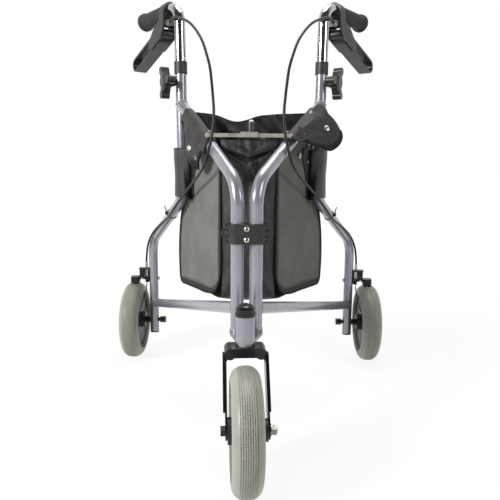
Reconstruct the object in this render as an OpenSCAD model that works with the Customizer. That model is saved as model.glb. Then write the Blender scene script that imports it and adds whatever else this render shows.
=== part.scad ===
// Folding three wheel rollator: caster head, two swinging side frames, brakes, bag.
// Millimetres, +Z up, origin on the floor at the middle of the footprint.
// The front faces -Y. Left and right are the user's, so left is +X.

/* [Wheels] */
// Outside diameter of the three tyres
wheel_d = 190.5; // [180:0.5:195]
// Width of a tyre
tyre_w = 46; // [40:1:50]
// Radius of a tyre's shoulders
tyre_shoulder_r = 20; // [10:1:21]
// Number of grooves round a tyre
groove_n = 8; // [0:1:10]
// Depth of a tyre groove
groove_depth = 0.9; // [0.5:0.1:1.5]
// Diameter of the rim under the tyre
rim_d = 146; // [120:1:150]
// Width of the rim
rim_w = 36; // [28:1:40]
// Thickness of the rim's hollow web
web_t = 28; // [12:1:32]
// Wall of the rim's web
web_wall = 3; // [2:0.5:5]
// Diameter of the hub
hub_d = 40; // [32:1:46]
// How far the hub stands out past each side of the tyre
hub_proud = 4; // [2:0.5:6]
// Number of curved slots in the web
slot_n = 6; // [4:1:8]
// Width of a web slot
slot_w = 4; // [2:0.5:6]
// Diameter of the wheel axles
axle_d = 10; // [8:0.5:12]

/* [Caster head] */
// Distance of the caster axle from the swivel axis
caster_lead = 71; // [50:1:80]
// Turn of the caster at rest
caster_turn = 5; // [0:0.5:10]
// Outside diameter of the head tube
head_tube_d = 30; // [28:0.5:34]
// Wall of the head tube
head_tube_wall = 3; // [2:0.5:4]
// Length of the head tube
head_tube_len = 43; // [35:1:60]
// Diameter of the fork's stem
stem_d = 16; // [12:0.5:18]
// Height of the bearing cup between fork and head tube
cup_h = 6; // [5:0.5:10]
// Height of the fork crown's face
crown_h = 15; // [10:1:18]
// Gap between the tyre's top and the crown
crown_gap = 13; // [11:0.5:20]
// Depth of the fork crown from front to back
crown_depth = 36; // [28:1:40]
// Gap between tyre and fork leg
fork_side_gap = 4.5; // [4.5:0.5:8]
// Length of the spacer between the front hub and the fork's left leg
hub_spacer = 6; // [2:0.5:10]
// Thickness of the fork's steel
fork_t = 3; // [2:0.5:4]
// Radius of the crown's shoulders
crown_r = 9; // [5:1:12]
// Height of the dome on the head cap
dome_h = 15; // [12:1:20]

/* [Hinge] */
// Distance of the side frame posts behind the swivel axis
post_back = 57; // [50:1:65]
// Distance between the two posts
post_gap = 31.2; // [29:0.2:34]
// Thickness of the hinge plate
plate_t = 6; // [4:0.5:8]
// Diameter of the hinge pins inside the posts
pin_d = 14; // [10:0.5:16]
// Height of the hinge pins above the plate
pin_len = 188; // [150:1:195]
// Height of a post bush
bush_h = 30; // [20:1:40]
// Middle height of the post clamp
clamp_z = 376; // [350:1:385]
// Height of the post clamp
clamp_h = 33; // [28:1:40]
// Wall of the post clamp round the posts
clamp_wall = 5; // [4:0.5:8]
// Bore of the two eyelets on the clamp
eyelet_d = 8; // [5:0.5:10]
// Distance between the clamp's screws
clamp_screw_gap = 17.5; // [14:0.5:20]

/* [Side frame] */
// Outside diameter of the frame tubes
tube_d = 22.2; // [21:0.1:25]
// Wall of the frame tubes
tube_wall = 1.5; // [1.2:0.1:1.8]
// Angle of a side frame from the straight-ahead line
splay = 26.8; // [22:0.2:30]
// Height at which post and upper rail would meet
rail_corner_z = 458; // [440:1:480]
// Rise of the upper rail above level
rail_rise = 28.4; // [24:0.2:32]
// Reach of the upper leg behind the post, at the height of lean_z
leg_t = 279; // [260:1:300]
// Height at which the reach of the upper leg is taken
lean_z = 600; // [560:1:640]
// Backward lean of the upper leg
leg_lean = 2; // [0:0.5:5]
// Height of the upper leg's lower corner
knee_z = 420; // [400:1:440]
// Height of the lower leg's upper corner
ankle_z = 300; // [285:1:320]
// Reach of the lower leg behind the post
foot_t = 512; // [490:1:530]
// Height of the lower leg's end above the floor
foot_z = 66; // [50:1:75]
// Bend radius of the leg
leg_bend_r = 55; // [45:1:65]
// Bend radius of the upper rail
rail_bend_r = 60; // [50:1:75]
// Outside diameter of the lower rail
low_rail_d = 21; // [19:0.1:21.5]
// Height of the lower rail at the post
low_rail_front_z = 250; // [245:1:270]
// Height of the lower rail at the leg
low_rail_back_z = 139; // [130:1:150]
// Gap between the lower leg and the tyre
wheel_gap = 15.5; // [14:0.5:20]

/* [Handles] */
// Height of the upper leg's open end
socket_z = 690; // [670:1:710]
// Height of the collar on the upper leg
collar_h = 24; // [18:1:30]
// Wall of the collar
collar_wall = 2; // [1.5:0.1:3]
// Diameter of the handle tube's lower, swaged part
handle_stem_d = 19.05; // [18:0.05:19.1]
// Travel of the handle's height
handle_travel = 150; // [100:5:150]
// Length of the swaged part that stays in the leg at full height
handle_hold = 72; // [60:1:74]
// Straight height of the handle tube above the socket
handle_up = 76; // [60:1:90]
// Bend radius of the handle tube
handle_bend_r = 36; // [34:1:45]
// Turn of the grip outward from the side frame
grip_turn = 9; // [0:1:15]
// Distance of the grip's end from the handle tube
grip_reach = 164; // [160:1:175]
// Length of the grip
grip_len = 104; // [95:1:106]
// Diameter of the grip
grip_d = 32; // [29:0.5:36]
// Diameter of the grip's end flange
grip_flange_d = 38; // [36:0.5:42]
// Height of the clamping knob below the leg's open end
knob_drop = 38; // [32:1:60]
// Diameter across the clamping knob's lobes
knob_d = 70; // [40:1:74]
// Diameter of the clamping knob's screw
knob_screw_d = 8; // [6:0.5:10]

/* [Brakes] */
// Width of the brake lever's strap
lever_w = 26; // [20:1:28]
// Length of the brake lever's loop
lever_len = 155; // [130:1:165]
// Height of the brake lever's loop
lever_h = 30; // [28:1:34]
// Thickness of the brake lever's strap
lever_t = 4.5; // [3.5:0.5:6]
// Droop of the brake lever below the grip
lever_droop = 19; // [14:1:20]
// Drop of the lever's pivot below the grip's axis
lever_drop = 43; // [40:1:48]
// Distance of the lever's pivot from the handle tube
lever_back = 58; // [55:1:62]
// Reach of the housing's cheeks past the lever's pivot
cheek_reach = 58; // [54:1:62]
// Depth of the cheeks under the lever's pivot
cheek_low = 27; // [24:1:30]
// Radius of the cheeks round the lever's pivot
cheek_boss_r = 10; // [8:0.5:12]
// Diameter of the brake cable
cable_d = 5; // [4:0.5:6]
// Height of the brake's pivot above the tyre
brake_pivot_up = 17; // [15:0.5:20]
// Gap between the brake shoe and the tyre
shoe_gap = 2; // [1.8:0.1:3]
// Outside diameter of the return spring
spring_d = 8.4; // [7:0.1:9]
// Wire of the return spring
spring_wire = 1.3; // [1:0.1:1.5]
// Number of curls of the return spring
spring_n = 7; // [5:1:8]

/* [Lock brace] */
// Distance of a brace pivot from the centre plane
brace_x = 74.5; // [70:0.5:78]
// Height of the brace pivots
brace_z = 540; // [539:0.5:545]
// Height of the brace's flat bars
brace_bar_h = 7; // [6:0.5:10]
// Thickness of the brace's flat bars
brace_bar_t = 2.5; // [2:0.5:3]
// Diameter of the brace's pins
brace_pin_d = 4; // [3:0.5:5]
// Play of the loose end in its slot
brace_slot = 23; // [22:0.5:26]
// Diameter of the brace's knob
brace_knob_d = 13; // [9:0.5:15]
// Height of the brace's knob
brace_knob_h = 17; // [14:1:28]

/* [Bag] */
// Height of the bag's bottom above the floor
bag_z = 242; // [240:1:270]
// Reach of the bag's front edge behind the posts
bag_front_t = 86; // [80:1:100]
// Reach of the bag's back edge behind the posts
bag_back_t = 326; // [310:1:335]
// Thickness of the bag's walls
bag_wall = 4; // [3:0.5:5]
// Clear height of the bag's side under the upper rail's axis
bag_top_drop = 6; // [4:1:10]

/* [Hidden] */
// Running clearance of pins, stems and axles in their bores, on the radius
run_fit = 0.05;
// Gap between soft or curved pieces that must not touch
clear = 0.4;
// Gap left for the weld where one tube is coped to another
weld_gap = 0.3;
// Lap of a straight tube into a bend, and the bend's extra skin there
lap = 1.5;
skin = 0.1;
// Overlap used to cut right through
eps = 1;
round_fn = 64;

tube_r = tube_d / 2;
tube_bore_r = tube_r - tube_wall;
wheel_r = wheel_d / 2;
axle_z = wheel_r;
post_x = post_gap / 2;
leg_back = post_back + foot_t * cos(splay);
leg_x = post_x + foot_t * sin(splay);
head_y = (caster_lead - leg_back) / 2;
post_y = head_y + post_back;
leg_y = head_y + leg_back;
wheel_out = tube_r + wheel_gap + tyre_w / 2;
hub_half = tyre_w / 2 + hub_proud;
fork_in = (tyre_w + hub_spacer) / 2 + fork_side_gap;
fork_out = fork_in + fork_t;
fork_rib_t = 3;
crown_top = wheel_d + crown_gap;
head_tube_z = crown_top + cup_h;
head_tube_top = head_tube_z + head_tube_len;
plate_z = crown_top + 3;
plate_top = plate_z + plate_t;
post_z = plate_top + 1;
grip_z = handle_up + handle_bend_r;
housing_from = handle_bend_r + 2;
adjuster_len = 14;
adjuster_drop = 27;
adjuster_side = 8;

// Reach of the upper leg's axis at a height, and height of the upper rail's axis at a reach
function leg_at(z) = leg_t + (z - lean_z) * tan(leg_lean);
function rail_at(t) = rail_corner_z + t * tan(rail_rise);
weld_t = (leg_t + (rail_corner_z - lean_z) * tan(leg_lean)) / (1 - tan(rail_rise) * tan(leg_lean));

leg_path = [[leg_at(socket_z), socket_z], [leg_at(knee_z), knee_z], [foot_t, ankle_z], [foot_t, foot_z]];
post_path = [[0, post_z], [0, rail_corner_z], [weld_t, rail_at(weld_t)]];

// Vector helpers
function unit(v) = v / norm(v);
function way(p, i) = unit(p[i + 1] - p[i]);
function turn_at(p, i) = acos(way(p, i - 1) * way(p, i));
function trim(p, i, r) = i == 0 || i == len(p) - 1 ? 0 : r * tan(turn_at(p, i) / 2);

// Tube along a path in the XZ plane, with one bend radius. Each straight run laps into its
// bends, and a bend's wall is a hair thicker, so that the two join cleanly
module tube(p, bend_r, r, wall) {
    last = len(p) - 2;
    for (i = [0 : last]) {
        d = way(p, i);
        a = p[i] + d * (trim(p, i, bend_r) - (i == 0 ? 0 : lap));
        b = p[i + 1] - d * (trim(p, i + 1, bend_r) - (i == last ? 0 : lap));
        translate([a[0], 0, a[1]])
            rotate([0, atan2(d[0], d[1]), 0])
                ring(norm(b - a), r, r - wall);
    }
    for (i = [1 : last]) {
        d = way(p, i - 1);
        e = way(p, i);
        side = d[0] * e[1] - d[1] * e[0] > 0 ? 1 : -1;
        a = p[i] - d * trim(p, i, bend_r);
        c = a + side * bend_r * [-d[1], d[0]];
        from = atan2(a[1] - c[1], a[0] - c[0]) - (side > 0 ? 0 : turn_at(p, i));
        translate([c[0], 0, c[1]])
            rotate([90, 0, 0])
                rotate([0, 0, from])
                    rotate_extrude(angle = turn_at(p, i), $fn = 96)
                        translate([bend_r, 0])
                            difference() {
                                circle(r + skin, $fn = round_fn);
                                circle(r - wall - skin, $fn = round_fn);
                            }
    }
}

// Straight round bar between two points
module rod(a, b, r) {
    d = b - a;
    translate(a)
        rotate([0, acos(d[2] / norm(d)), atan2(d[1], d[0])])
            cylinder(h = norm(d), r = r, $fn = round_fn);
}

// Ring with a bore, standing on z = 0
module ring(h, r_out, r_in) {
    difference() {
        cylinder(h = h, r = r_out, $fn = round_fn);
        translate([0, 0, -eps])
            cylinder(h = h + 2 * eps, r = r_in, $fn = round_fn);
    }
}

// Six sided nut standing on z = 0
module nut(af, h, bore_r) {
    difference() {
        cylinder(h = h, d = af / cos(30), $fn = 6);
        translate([0, 0, -eps])
            cylinder(h = h + 2 * eps, r = bore_r, $fn = round_fn);
    }
}

// Places for the two sides: sign 1 is the user's left
module sided(s) {
    if (s > 0) children();
    else mirror([1, 0, 0]) children();
}

// Frame of a side frame: X runs back along its plane from the post, Y points inward
module on_side(s) {
    sided(s)
        translate([post_x, post_y, 0])
            rotate([0, 0, 90 - splay])
                children();
}

// Frame of a lower leg: X points outward to the wheel, Y points back
module on_leg(s) {
    sided(s)
        translate([leg_x, leg_y, 0])
            children();
}

// Frame of a handle: origin at the socket's mouth, Z up the tube, X back along the grip
module on_handle(s) {
    on_side(s)
        translate([leg_at(socket_z), 0, socket_z])
            rotate([0, leg_lean, 0])
                rotate([0, 0, -grip_turn])
                    children();
}

// Frame of the caster: origin on the swivel axis at floor height
module on_caster() {
    translate([0, head_y, 0])
        rotate([0, 0, caster_turn])
            children();
}

// Wheel pieces, axle along X through the origin
function crown_r_at(a) = abs(a) <= tyre_w / 2 - tyre_shoulder_r ? wheel_r
    : wheel_r - tyre_shoulder_r
        + sqrt(pow(tyre_shoulder_r, 2) - pow(abs(a) - tyre_w / 2 + tyre_shoulder_r, 2));

module tyre_profile() {
    rim_r = rim_d / 2;
    flat = tyre_w / 2 - tyre_shoulder_r;
    groove_w = 1.2;
    pitch = (tyre_w - tyre_shoulder_r) / max(groove_n, 1);
    difference() {
        union() {
            translate([0, -tyre_w / 2])
                square([wheel_r - tyre_shoulder_r, tyre_w]);
            translate([0, -flat])
                square([wheel_r, 2 * flat]);
            for (s = [-1, 1])
                translate([wheel_r - tyre_shoulder_r, s * flat])
                    circle(tyre_shoulder_r, $fn = round_fn);
        }
        // seat on the rim
        translate([-eps, -tyre_w])
            square([rim_r + eps, 2 * tyre_w]);
        for (i = [0 : 1 : groove_n - 1]) {
            a = (i - (groove_n - 1) / 2) * pitch;
            translate([crown_r_at(a) - groove_depth, a - groove_w / 2])
                square([4 * groove_depth, groove_w]);
        }
    }
}

module tyre() {
    color([0.62, 0.64, 0.58])
        rotate([0, 90, 0])
            rotate_extrude($fn = 128)
                tyre_profile();
}

// One curved slot of the web, drawn flat
module web_slot() {
    inner = hub_d / 2 + 8;
    outer = rim_d / 2 - 12;
    bow = (outer - inner) * 0.7;
    middle = (outer + inner) / 2;
    intersection() {
        translate([middle, bow * 0.6])
            difference() {
                circle(bow + slot_w / 2, $fn = round_fn);
                circle(bow - slot_w / 2, $fn = round_fn);
            }
        difference() {
            circle(outer, $fn = round_fn);
            circle(inner, $fn = round_fn);
        }
        translate([0, -outer])
            square([2 * outer, outer + bow * 0.3]);
    }
}

module rim() {
    rim_r = rim_d / 2;
    barrel = 7;
    color([0.45, 0.46, 0.46])
        rotate([0, 90, 0])
            difference() {
                union() {
                    translate([0, 0, -rim_w / 2])
                        ring(rim_w, rim_r, rim_r - barrel);
                    translate([0, 0, -web_t / 2])
                        cylinder(h = web_t, r = rim_r - barrel / 2, $fn = 96);
                    translate([0, 0, -hub_half])
                        cylinder(h = 2 * hub_half, d = hub_d, $fn = round_fn);
                }
                translate([0, 0, -hub_half - eps])
                    cylinder(h = 2 * (hub_half + eps), r = axle_d / 2 + run_fit, $fn = round_fn);
                // hollow of the web, open through its slots
                translate([0, 0, web_wall - web_t / 2])
                    ring(web_t - 2 * web_wall, rim_r - barrel, hub_d / 2);
                for (i = [0 : slot_n - 1])
                    rotate([0, 0, i * 360 / slot_n])
                        translate([0, 0, -web_t])
                            linear_extrude(2 * web_t)
                                web_slot();
            }
}

// Caster
module fork() {
    leg_end_r = 14;
    rib_w = 12;
    color([0.08, 0.08, 0.09])
        on_caster() {
            difference() {
                union() {
                    // pressed crown with its front and back faces
                    rotate([90, 0, 0])
                        translate([0, 0, -crown_depth / 2])
                            linear_extrude(crown_depth)
                                crown_outline();
                    for (s = [-1, 1])
                        translate([s > 0 ? fork_in : -fork_out, 0, 0])
                            rotate([90, 0, 90])
                                linear_extrude(fork_t)
                                    fork_leg_outline(leg_end_r);
                    for (s = [-1, 1])
                        translate([s > 0 ? fork_out : -fork_out - fork_rib_t, 0, 0])
                            rotate([90, 0, 90])
                                linear_extrude(fork_rib_t)
                                    fork_rib_outline(rib_w);
                }
                // hollow of the crown
                translate([-fork_in, -crown_depth / 2 + fork_t, wheel_d - crown_h])
                    cube([2 * fork_in, crown_depth - 2 * fork_t, crown_h + crown_gap - fork_t]);
                translate([-fork_out - fork_rib_t - eps, -caster_lead, axle_z])
                    rotate([0, 90, 0])
                        cylinder(h = 2 * (fork_out + fork_rib_t + eps), d = axle_d, $fn = round_fn);
            }
            translate([0, 0, crown_top - fork_t])
                cylinder(h = fork_t + cup_h + head_tube_len + 10, d = stem_d, $fn = round_fn);
            // nut that holds the stem
            translate([0, 0, head_tube_top + run_fit])
                nut(19, 7, stem_d / 2);
        }
}

module crown_outline() {
    low = crown_top - crown_h;
    inner_r = 8;
    union() {
        // rounded corners inside the legs
        for (s = [-1, 1])
            difference() {
                translate([s > 0 ? fork_in - inner_r : -fork_in, low - inner_r])
                    square([inner_r, inner_r + eps]);
                translate([s * (fork_in - inner_r), low - inner_r])
                    circle(inner_r, $fn = round_fn);
            }
        translate([-fork_out, low])
            square([2 * fork_out, crown_h - crown_r]);
        translate([-fork_out + crown_r, low])
            square([2 * (fork_out - crown_r), crown_h]);
        for (s = [-1, 1])
            translate([s * (fork_out - crown_r), crown_top - crown_r])
                circle(crown_r, $fn = round_fn);
    }
}

module fork_leg_outline(r) {
    top = crown_top - crown_r;
    polygon([[crown_depth / 2, top], [-crown_depth / 2, top], [-caster_lead - r * 0.95, axle_z + r * 0.3],
        [-caster_lead + r * 0.95, axle_z - r * 0.3]]);
    translate([-caster_lead, axle_z])
        circle(r, $fn = round_fn);
}

module fork_rib_outline(w) {
    top = crown_top - crown_r - 1;
    low = axle_z + 24;
    lean = caster_lead / (crown_top - axle_z);
    polygon([[-(crown_top - top) * lean - w / 2, top], [-(crown_top - top) * lean + w / 2, top],
        [-(crown_top - low) * lean + w / 2, low], [-(crown_top - low) * lean - w / 2, low]]);
}

module front_axle() {
    head_h = 7;
    color([0.72, 0.72, 0.7])
        on_caster()
            translate([0, -caster_lead, axle_z])
                rotate([0, 90, 0]) {
                    translate([0, 0, -fork_out - 3])
                        cylinder(h = 2 * fork_out + fork_rib_t + 11, d = axle_d, $fn = round_fn);
                    translate([0, 0, -fork_out - head_h])
                        cylinder(h = head_h, d = axle_d + 7, $fn = 6);
                    translate([0, 0, fork_out])
                        cylinder(h = 1.6, d = axle_d + 9, $fn = round_fn);
                    translate([0, 0, fork_out + 1.6])
                        cylinder(h = 8, d = axle_d + 7, $fn = 6);
                    // spacer beside the hub
                    translate([0, 0, hub_half + clear / 2 - hub_spacer / 2])
                        cylinder(h = fork_in - hub_half - clear / 2 + hub_spacer / 2, d = axle_d + 24,
                            $fn = round_fn);
                }
}

module front_tyre() {
    on_caster() translate([-hub_spacer / 2, -caster_lead, axle_z]) tyre();
}

module front_rim() {
    on_caster() translate([-hub_spacer / 2, -caster_lead, axle_z]) rim();
}

// Head
module head_tube() {
    color([0.66, 0.65, 0.74])
        translate([0, head_y, head_tube_z])
            ring(head_tube_len, head_tube_d / 2, head_tube_d / 2 - head_tube_wall);
}

module hinge_plate() {
    wide = post_x + tube_r + 1;
    back = post_back + tube_r + 2;
    nose = head_tube_d / 2;
    color([0.66, 0.65, 0.74])
        translate([0, head_y, 0])
            difference() {
                union() {
                    translate([0, 0, plate_z])
                        linear_extrude(plate_t)
                            polygon([[-wide, back], [wide, back], [wide, post_back - tube_r],
                                [nose, nose / 4], [-nose, nose / 4], [-wide, post_back - tube_r]]);
                    // upright web between head tube and posts
                    translate([-plate_t / 2, 0, plate_z])
                        cube([plate_t, post_back - tube_r - 2, head_tube_len * 0.8]);
                }
                translate([0, 0, plate_z - eps])
                    cylinder(h = head_tube_len * 2, d = head_tube_d, $fn = round_fn);
                for (s = [-1, 1])
                    translate([s * post_x, post_back, plate_z - eps])
                        cylinder(h = plate_t + 2 * eps, d = pin_d, $fn = round_fn);
            }
}

module hinge_pins() {
    color([0.6, 0.6, 0.6])
        for (s = [-1, 1])
            translate([s * post_x, post_y, plate_z])
                cylinder(h = plate_t + pin_len, d = pin_d, $fn = round_fn);
}

module head_cap() {
    flange_h = 5;
    skirt_r = head_tube_d / 2 + 2;
    room_r = 12.5;
    color([0.07, 0.07, 0.08])
        translate([0, head_y, head_tube_top])
            difference() {
                union() {
                    cylinder(h = flange_h, r = skirt_r, $fn = round_fn);
                    intersection() {
                        cylinder(h = flange_h + dome_h, r = skirt_r - 1, $fn = round_fn);
                        translate([0, 0, flange_h + dome_h - 20])
                            sphere(20, $fn = round_fn);
                    }
                }
                translate([0, 0, -eps])
                    cylinder(h = eps + 13, r = room_r, $fn = round_fn);
            }
}

module head_bearings() {
    bore_r = stem_d / 2 + run_fit;
    seat_r = head_tube_d / 2 - head_tube_wall;
    seat_h = 9;
    color([0.75, 0.74, 0.7])
        translate([0, head_y, 0]) {
            difference() {
                union() {
                    translate([0, 0, crown_top + run_fit])
                        cylinder(h = cup_h - run_fit, r1 = bore_r + 2.5, r2 = head_tube_d / 2 - 1, $fn = round_fn);
                    translate([0, 0, head_tube_z])
                        cylinder(h = seat_h, r = seat_r, $fn = round_fn);
                }
                translate([0, 0, crown_top - eps])
                    cylinder(h = cup_h + seat_h + 2 * eps, r = bore_r, $fn = round_fn);
            }
            translate([0, 0, head_tube_top - seat_h])
                ring(seat_h, seat_r, bore_r);
        }
}

// Post clamp in two halves, drawn round the posts' middle
module clamp_half(s) {
    wide = post_x + tube_r + clamp_wall - 1;
    deep = tube_r + clamp_wall;
    lip_h = 5;
    lip = 5;
    split = 0.3;
    translate([0, post_y, clamp_z - clamp_h / 2])
        difference() {
            union() {
                intersection() {
                    union() {
                        for (e = [-1, 1])
                            translate([e * post_x, 0, 0])
                                cylinder(h = clamp_h, r = tube_r + clamp_wall, $fn = round_fn);
                        translate([-post_x, -deep, 0])
                            cube([2 * post_x, 2 * deep, clamp_h]);
                    }
                    translate([-wide, -deep, 0])
                        cube([2 * wide, 2 * deep, clamp_h]);
                }
                for (z = [0, clamp_h - lip_h])
                    translate([-wide - lip, -8, z])
                        cube([2 * (wide + lip), 16, lip_h]);
            }
            for (e = [-1, 1])
                translate([e * post_x, 0, -eps])
                    cylinder(h = clamp_h + 2 * eps, r = tube_r + run_fit, $fn = round_fn);
            for (e = [-1, 1])
                translate([0, -deep - eps, clamp_h / 2 + e * clamp_screw_gap / 2])
                    rotate([-90, 0, 0])
                        cylinder(h = 2 * (deep + eps), r = 2.1, $fn = round_fn);
            // the other half's side
            translate([-2 * wide, s < 0 ? -split : -3 * deep + split, -eps])
                cube([4 * wide, 3 * deep, clamp_h + 2 * eps]);
        }
}

module clamp_front() {
    wide = post_x + tube_r + clamp_wall - 1;
    ear_r = eyelet_d / 2 + 4;
    color([0.1, 0.1, 0.1]) {
        clamp_half(-1);
        for (s = [-1, 1])
            difference() {
                translate([s * (wide + ear_r - 3.5), post_y - 0.3, clamp_z])
                    rotate([90, 0, 0])
                        ring(4, ear_r, eyelet_d / 2);
                translate([-wide, post_y - 8, clamp_z - clamp_h / 2])
                    cube([2 * wide, 16, clamp_h]);
            }
    }
}

module clamp_rear() {
    color([0.1, 0.1, 0.1])
        clamp_half(1);
}

module clamp_screws() {
    deep = tube_r + clamp_wall;
    color([0.78, 0.78, 0.76])
        for (e = [-1, 1])
            translate([0, post_y - deep, clamp_z + e * clamp_screw_gap / 2])
                rotate([-90, 0, 0]) {
                    cylinder(h = 2 * deep + 2, d = 4, $fn = 32);
                    intersection() {
                        translate([0, 0, -3])
                            cylinder(h = 3, d = 9, $fn = round_fn);
                        translate([0, 0, 3])
                            sphere(6, $fn = round_fn);
                    }
                    translate([0, 0, 2 * deep])
                        nut(7, 3.2, 2);
                }
}

// Side frame tubes
module front_tube(s) {
    color([0.66, 0.65, 0.74]) {
        on_side(s)
            difference() {
                tube(post_path, rail_bend_r, tube_r, tube_wall);
                leg_core(tube_r + weld_gap);
            }
        brace_stud(s);
    }
}

// Straight upper rail, used to seat what stands on it or hangs round it
module rail_core(r) {
    b = post_path[2];
    rod([0, 0, rail_corner_z], [b[0], 0, b[1]], r);
}

// Straight upper part of the leg, used to cope what is welded to it
module leg_core(r) {
    a = leg_path[0];
    b = leg_path[1];
    rod([a[0], 0, a[1]], [b[0], 0, b[1]], r);
}

module rear_leg(s) {
    color([0.66, 0.65, 0.74])
        difference() {
            on_side(s)
                difference() {
                    tube(leg_path, leg_bend_r, tube_r, tube_wall);
                    knob_hole();
                }
            on_leg(s) {
                translate([-tube_d, 0, axle_z])
                    rotate([0, 90, 0])
                        cylinder(h = 2 * tube_d, d = axle_d, $fn = round_fn);
                translate([-tube_d, 0, brake_bolt_z])
                    rotate([0, 90, 0])
                        cylinder(h = 2 * tube_d, d = brake_bolt_d, $fn = round_fn);
            }
        }
}

// Place of the clamping knob's axis, along the leg's outward side
knob_z = socket_z - knob_drop;
module knob_place() {
    translate([leg_at(knob_z), 0, knob_z])
        rotate([0, leg_lean, 0])
            rotate([90, 0, 0])
                children();
}

module knob_hole() {
    knob_place()
        cylinder(h = tube_d, r = knob_screw_d / 2 + run_fit, $fn = round_fn);
}

module lower_rail(s) {
    front = [0, 0, low_rail_front_z];
    back = [foot_t, 0, low_rail_back_z];
    past = unit(back - front) * eps;
    color([0.66, 0.65, 0.74])
        on_side(s)
            difference() {
                rod(front, back, low_rail_d / 2);
                rod(front - past, back + past, low_rail_d / 2 - tube_wall);
                translate([0, 0, post_z])
                    cylinder(h = rail_corner_z - post_z - rail_bend_r, r = tube_r + weld_gap, $fn = round_fn);
                translate([foot_t, 0, foot_z])
                    cylinder(h = ankle_z - foot_z - leg_bend_r, r = tube_r + weld_gap, $fn = round_fn);
            }
}

module post_bushes(s) {
    flange_h = 0.9;
    bore_r = pin_d / 2 + run_fit;
    color([0.88, 0.88, 0.84])
        on_side(s) {
            translate([0, 0, post_z])
                ring(bush_h, tube_bore_r, bore_r);
            translate([0, 0, post_z - flange_h])
                ring(flange_h, tube_r, bore_r);
            translate([0, 0, plate_top + pin_len - bush_h])
                ring(bush_h, tube_bore_r, bore_r);
        }
}

module leg_plug(s) {
    flange_h = 3;
    color([0.08, 0.08, 0.08])
        on_side(s)
            translate([foot_t, 0, foot_z - flange_h]) {
                cylinder(h = flange_h, r = tube_r, $fn = round_fn);
                cylinder(h = flange_h + 14, r = tube_bore_r, $fn = round_fn);
            }
}

module height_collar(s) {
    lip_h = 3;
    color([0.12, 0.1, 0.1])
        on_side(s)
            translate([leg_at(socket_z), 0, socket_z])
                rotate([0, leg_lean, 0])
                    difference() {
                        translate([0, 0, lip_h - collar_h])
                            cylinder(h = collar_h, r = tube_r + collar_wall, $fn = round_fn);
                        translate([0, 0, -collar_h])
                            cylinder(h = collar_h, r = tube_r, $fn = round_fn);
                        translate([0, 0, -eps])
                            cylinder(h = lip_h + 2 * eps, r = handle_stem_d / 2 + run_fit, $fn = round_fn);
                    }
}

// Rear axle: black capped bolt from inside the leg, spacer and outer nut
module rear_axle(s) {
    cap_len = 14;
    neck = 4;
    spacer_d = axle_d + 6;
    hub_in = wheel_out - hub_half;
    hub_end = wheel_out + hub_half;
    color([0.1, 0.1, 0.1])
        on_leg(s)
            translate([0, 0, axle_z])
                rotate([0, 90, 0]) {
                    translate([0, 0, -tube_r - neck - cap_len])
                        cylinder(h = tube_r + neck + cap_len + hub_end + 10, d = axle_d, $fn = round_fn);
                    translate([0, 0, -tube_r - neck - cap_len])
                        cylinder(h = cap_len, d = axle_d + 6, $fn = round_fn);
                    translate([0, 0, tube_r + clear / 2])
                        cylinder(h = hub_in - tube_r - clear, d = spacer_d, $fn = round_fn);
                    translate([0, 0, hub_end + clear / 2])
                        cylinder(h = 8, d = axle_d + 7, $fn = 6);
                }
}

module rear_tyre(s) {
    on_leg(s) translate([wheel_out, 0, axle_z]) tyre();
}

module rear_rim(s) {
    on_leg(s) translate([wheel_out, 0, axle_z]) rim();
}

// Rear brake, in the frame of the lower leg
brake_bolt_d = 5;
brake_bolt_z = wheel_d + 13;
strip_t = 2;
strip_z = wheel_d + 39;
pivot_x = tube_r + 17;
pivot_z = wheel_d + brake_pivot_up;
wire_x = tube_r + 7;
ear_in = 8;
arm_bar_h = 6;
arm_top = pivot_z - 1;
arm_end_z = pivot_z - 10;
pivot_d = 5;

module brake_bracket(s) {
    color([0.09, 0.09, 0.09])
        on_leg(s) {
            back_x = tube_r + 0.2;
            difference() {
                union() {
                    // back plate, top strip and the two ears of the pivot
                    translate([back_x, -ear_in - strip_t, brake_bolt_z - 9])
                        cube([strip_t, 2 * (ear_in + strip_t), strip_z - brake_bolt_z + 9]);
                    translate([back_x, -ear_in - strip_t, strip_z - strip_t])
                        cube([pivot_x - back_x + 8, 2 * (ear_in + strip_t), strip_t]);
                    for (e = [-1, 1])
                        translate([pivot_x, e > 0 ? ear_in + strip_t : -ear_in, pivot_z])
                            rotate([90, 0, 0])
                                linear_extrude(strip_t) {
                                    translate([-6, 0])
                                        square([12, strip_z - pivot_z]);
                                    circle(6, $fn = round_fn);
                                }
                }
                translate([wire_x, 0, strip_z - 2 * strip_t])
                    cylinder(h = 4 * strip_t, r = 1.4, $fn = 32);
                translate([pivot_x, -ear_in - 2 * strip_t, pivot_z])
                    rotate([-90, 0, 0])
                        cylinder(h = 2 * (ear_in + 2 * strip_t), d = pivot_d, $fn = round_fn);
            }
            // pivot pin, then the bolt through the leg
            translate([pivot_x, -ear_in - strip_t - 1.5, pivot_z])
                rotate([-90, 0, 0])
                    cylinder(h = 2 * (ear_in + strip_t + 1.5), d = pivot_d, $fn = round_fn);
            translate([-tube_r - 3, 0, brake_bolt_z])
                rotate([0, 90, 0])
                    cylinder(h = 2 * tube_r + 3 + strip_t, d = brake_bolt_d, $fn = round_fn);
            translate([-tube_r - 4, 0, brake_bolt_z])
                rotate([0, 90, 0])
                    cylinder(h = 3.6, d = brake_bolt_d + 3.5, $fn = round_fn);
        }
}

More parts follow.
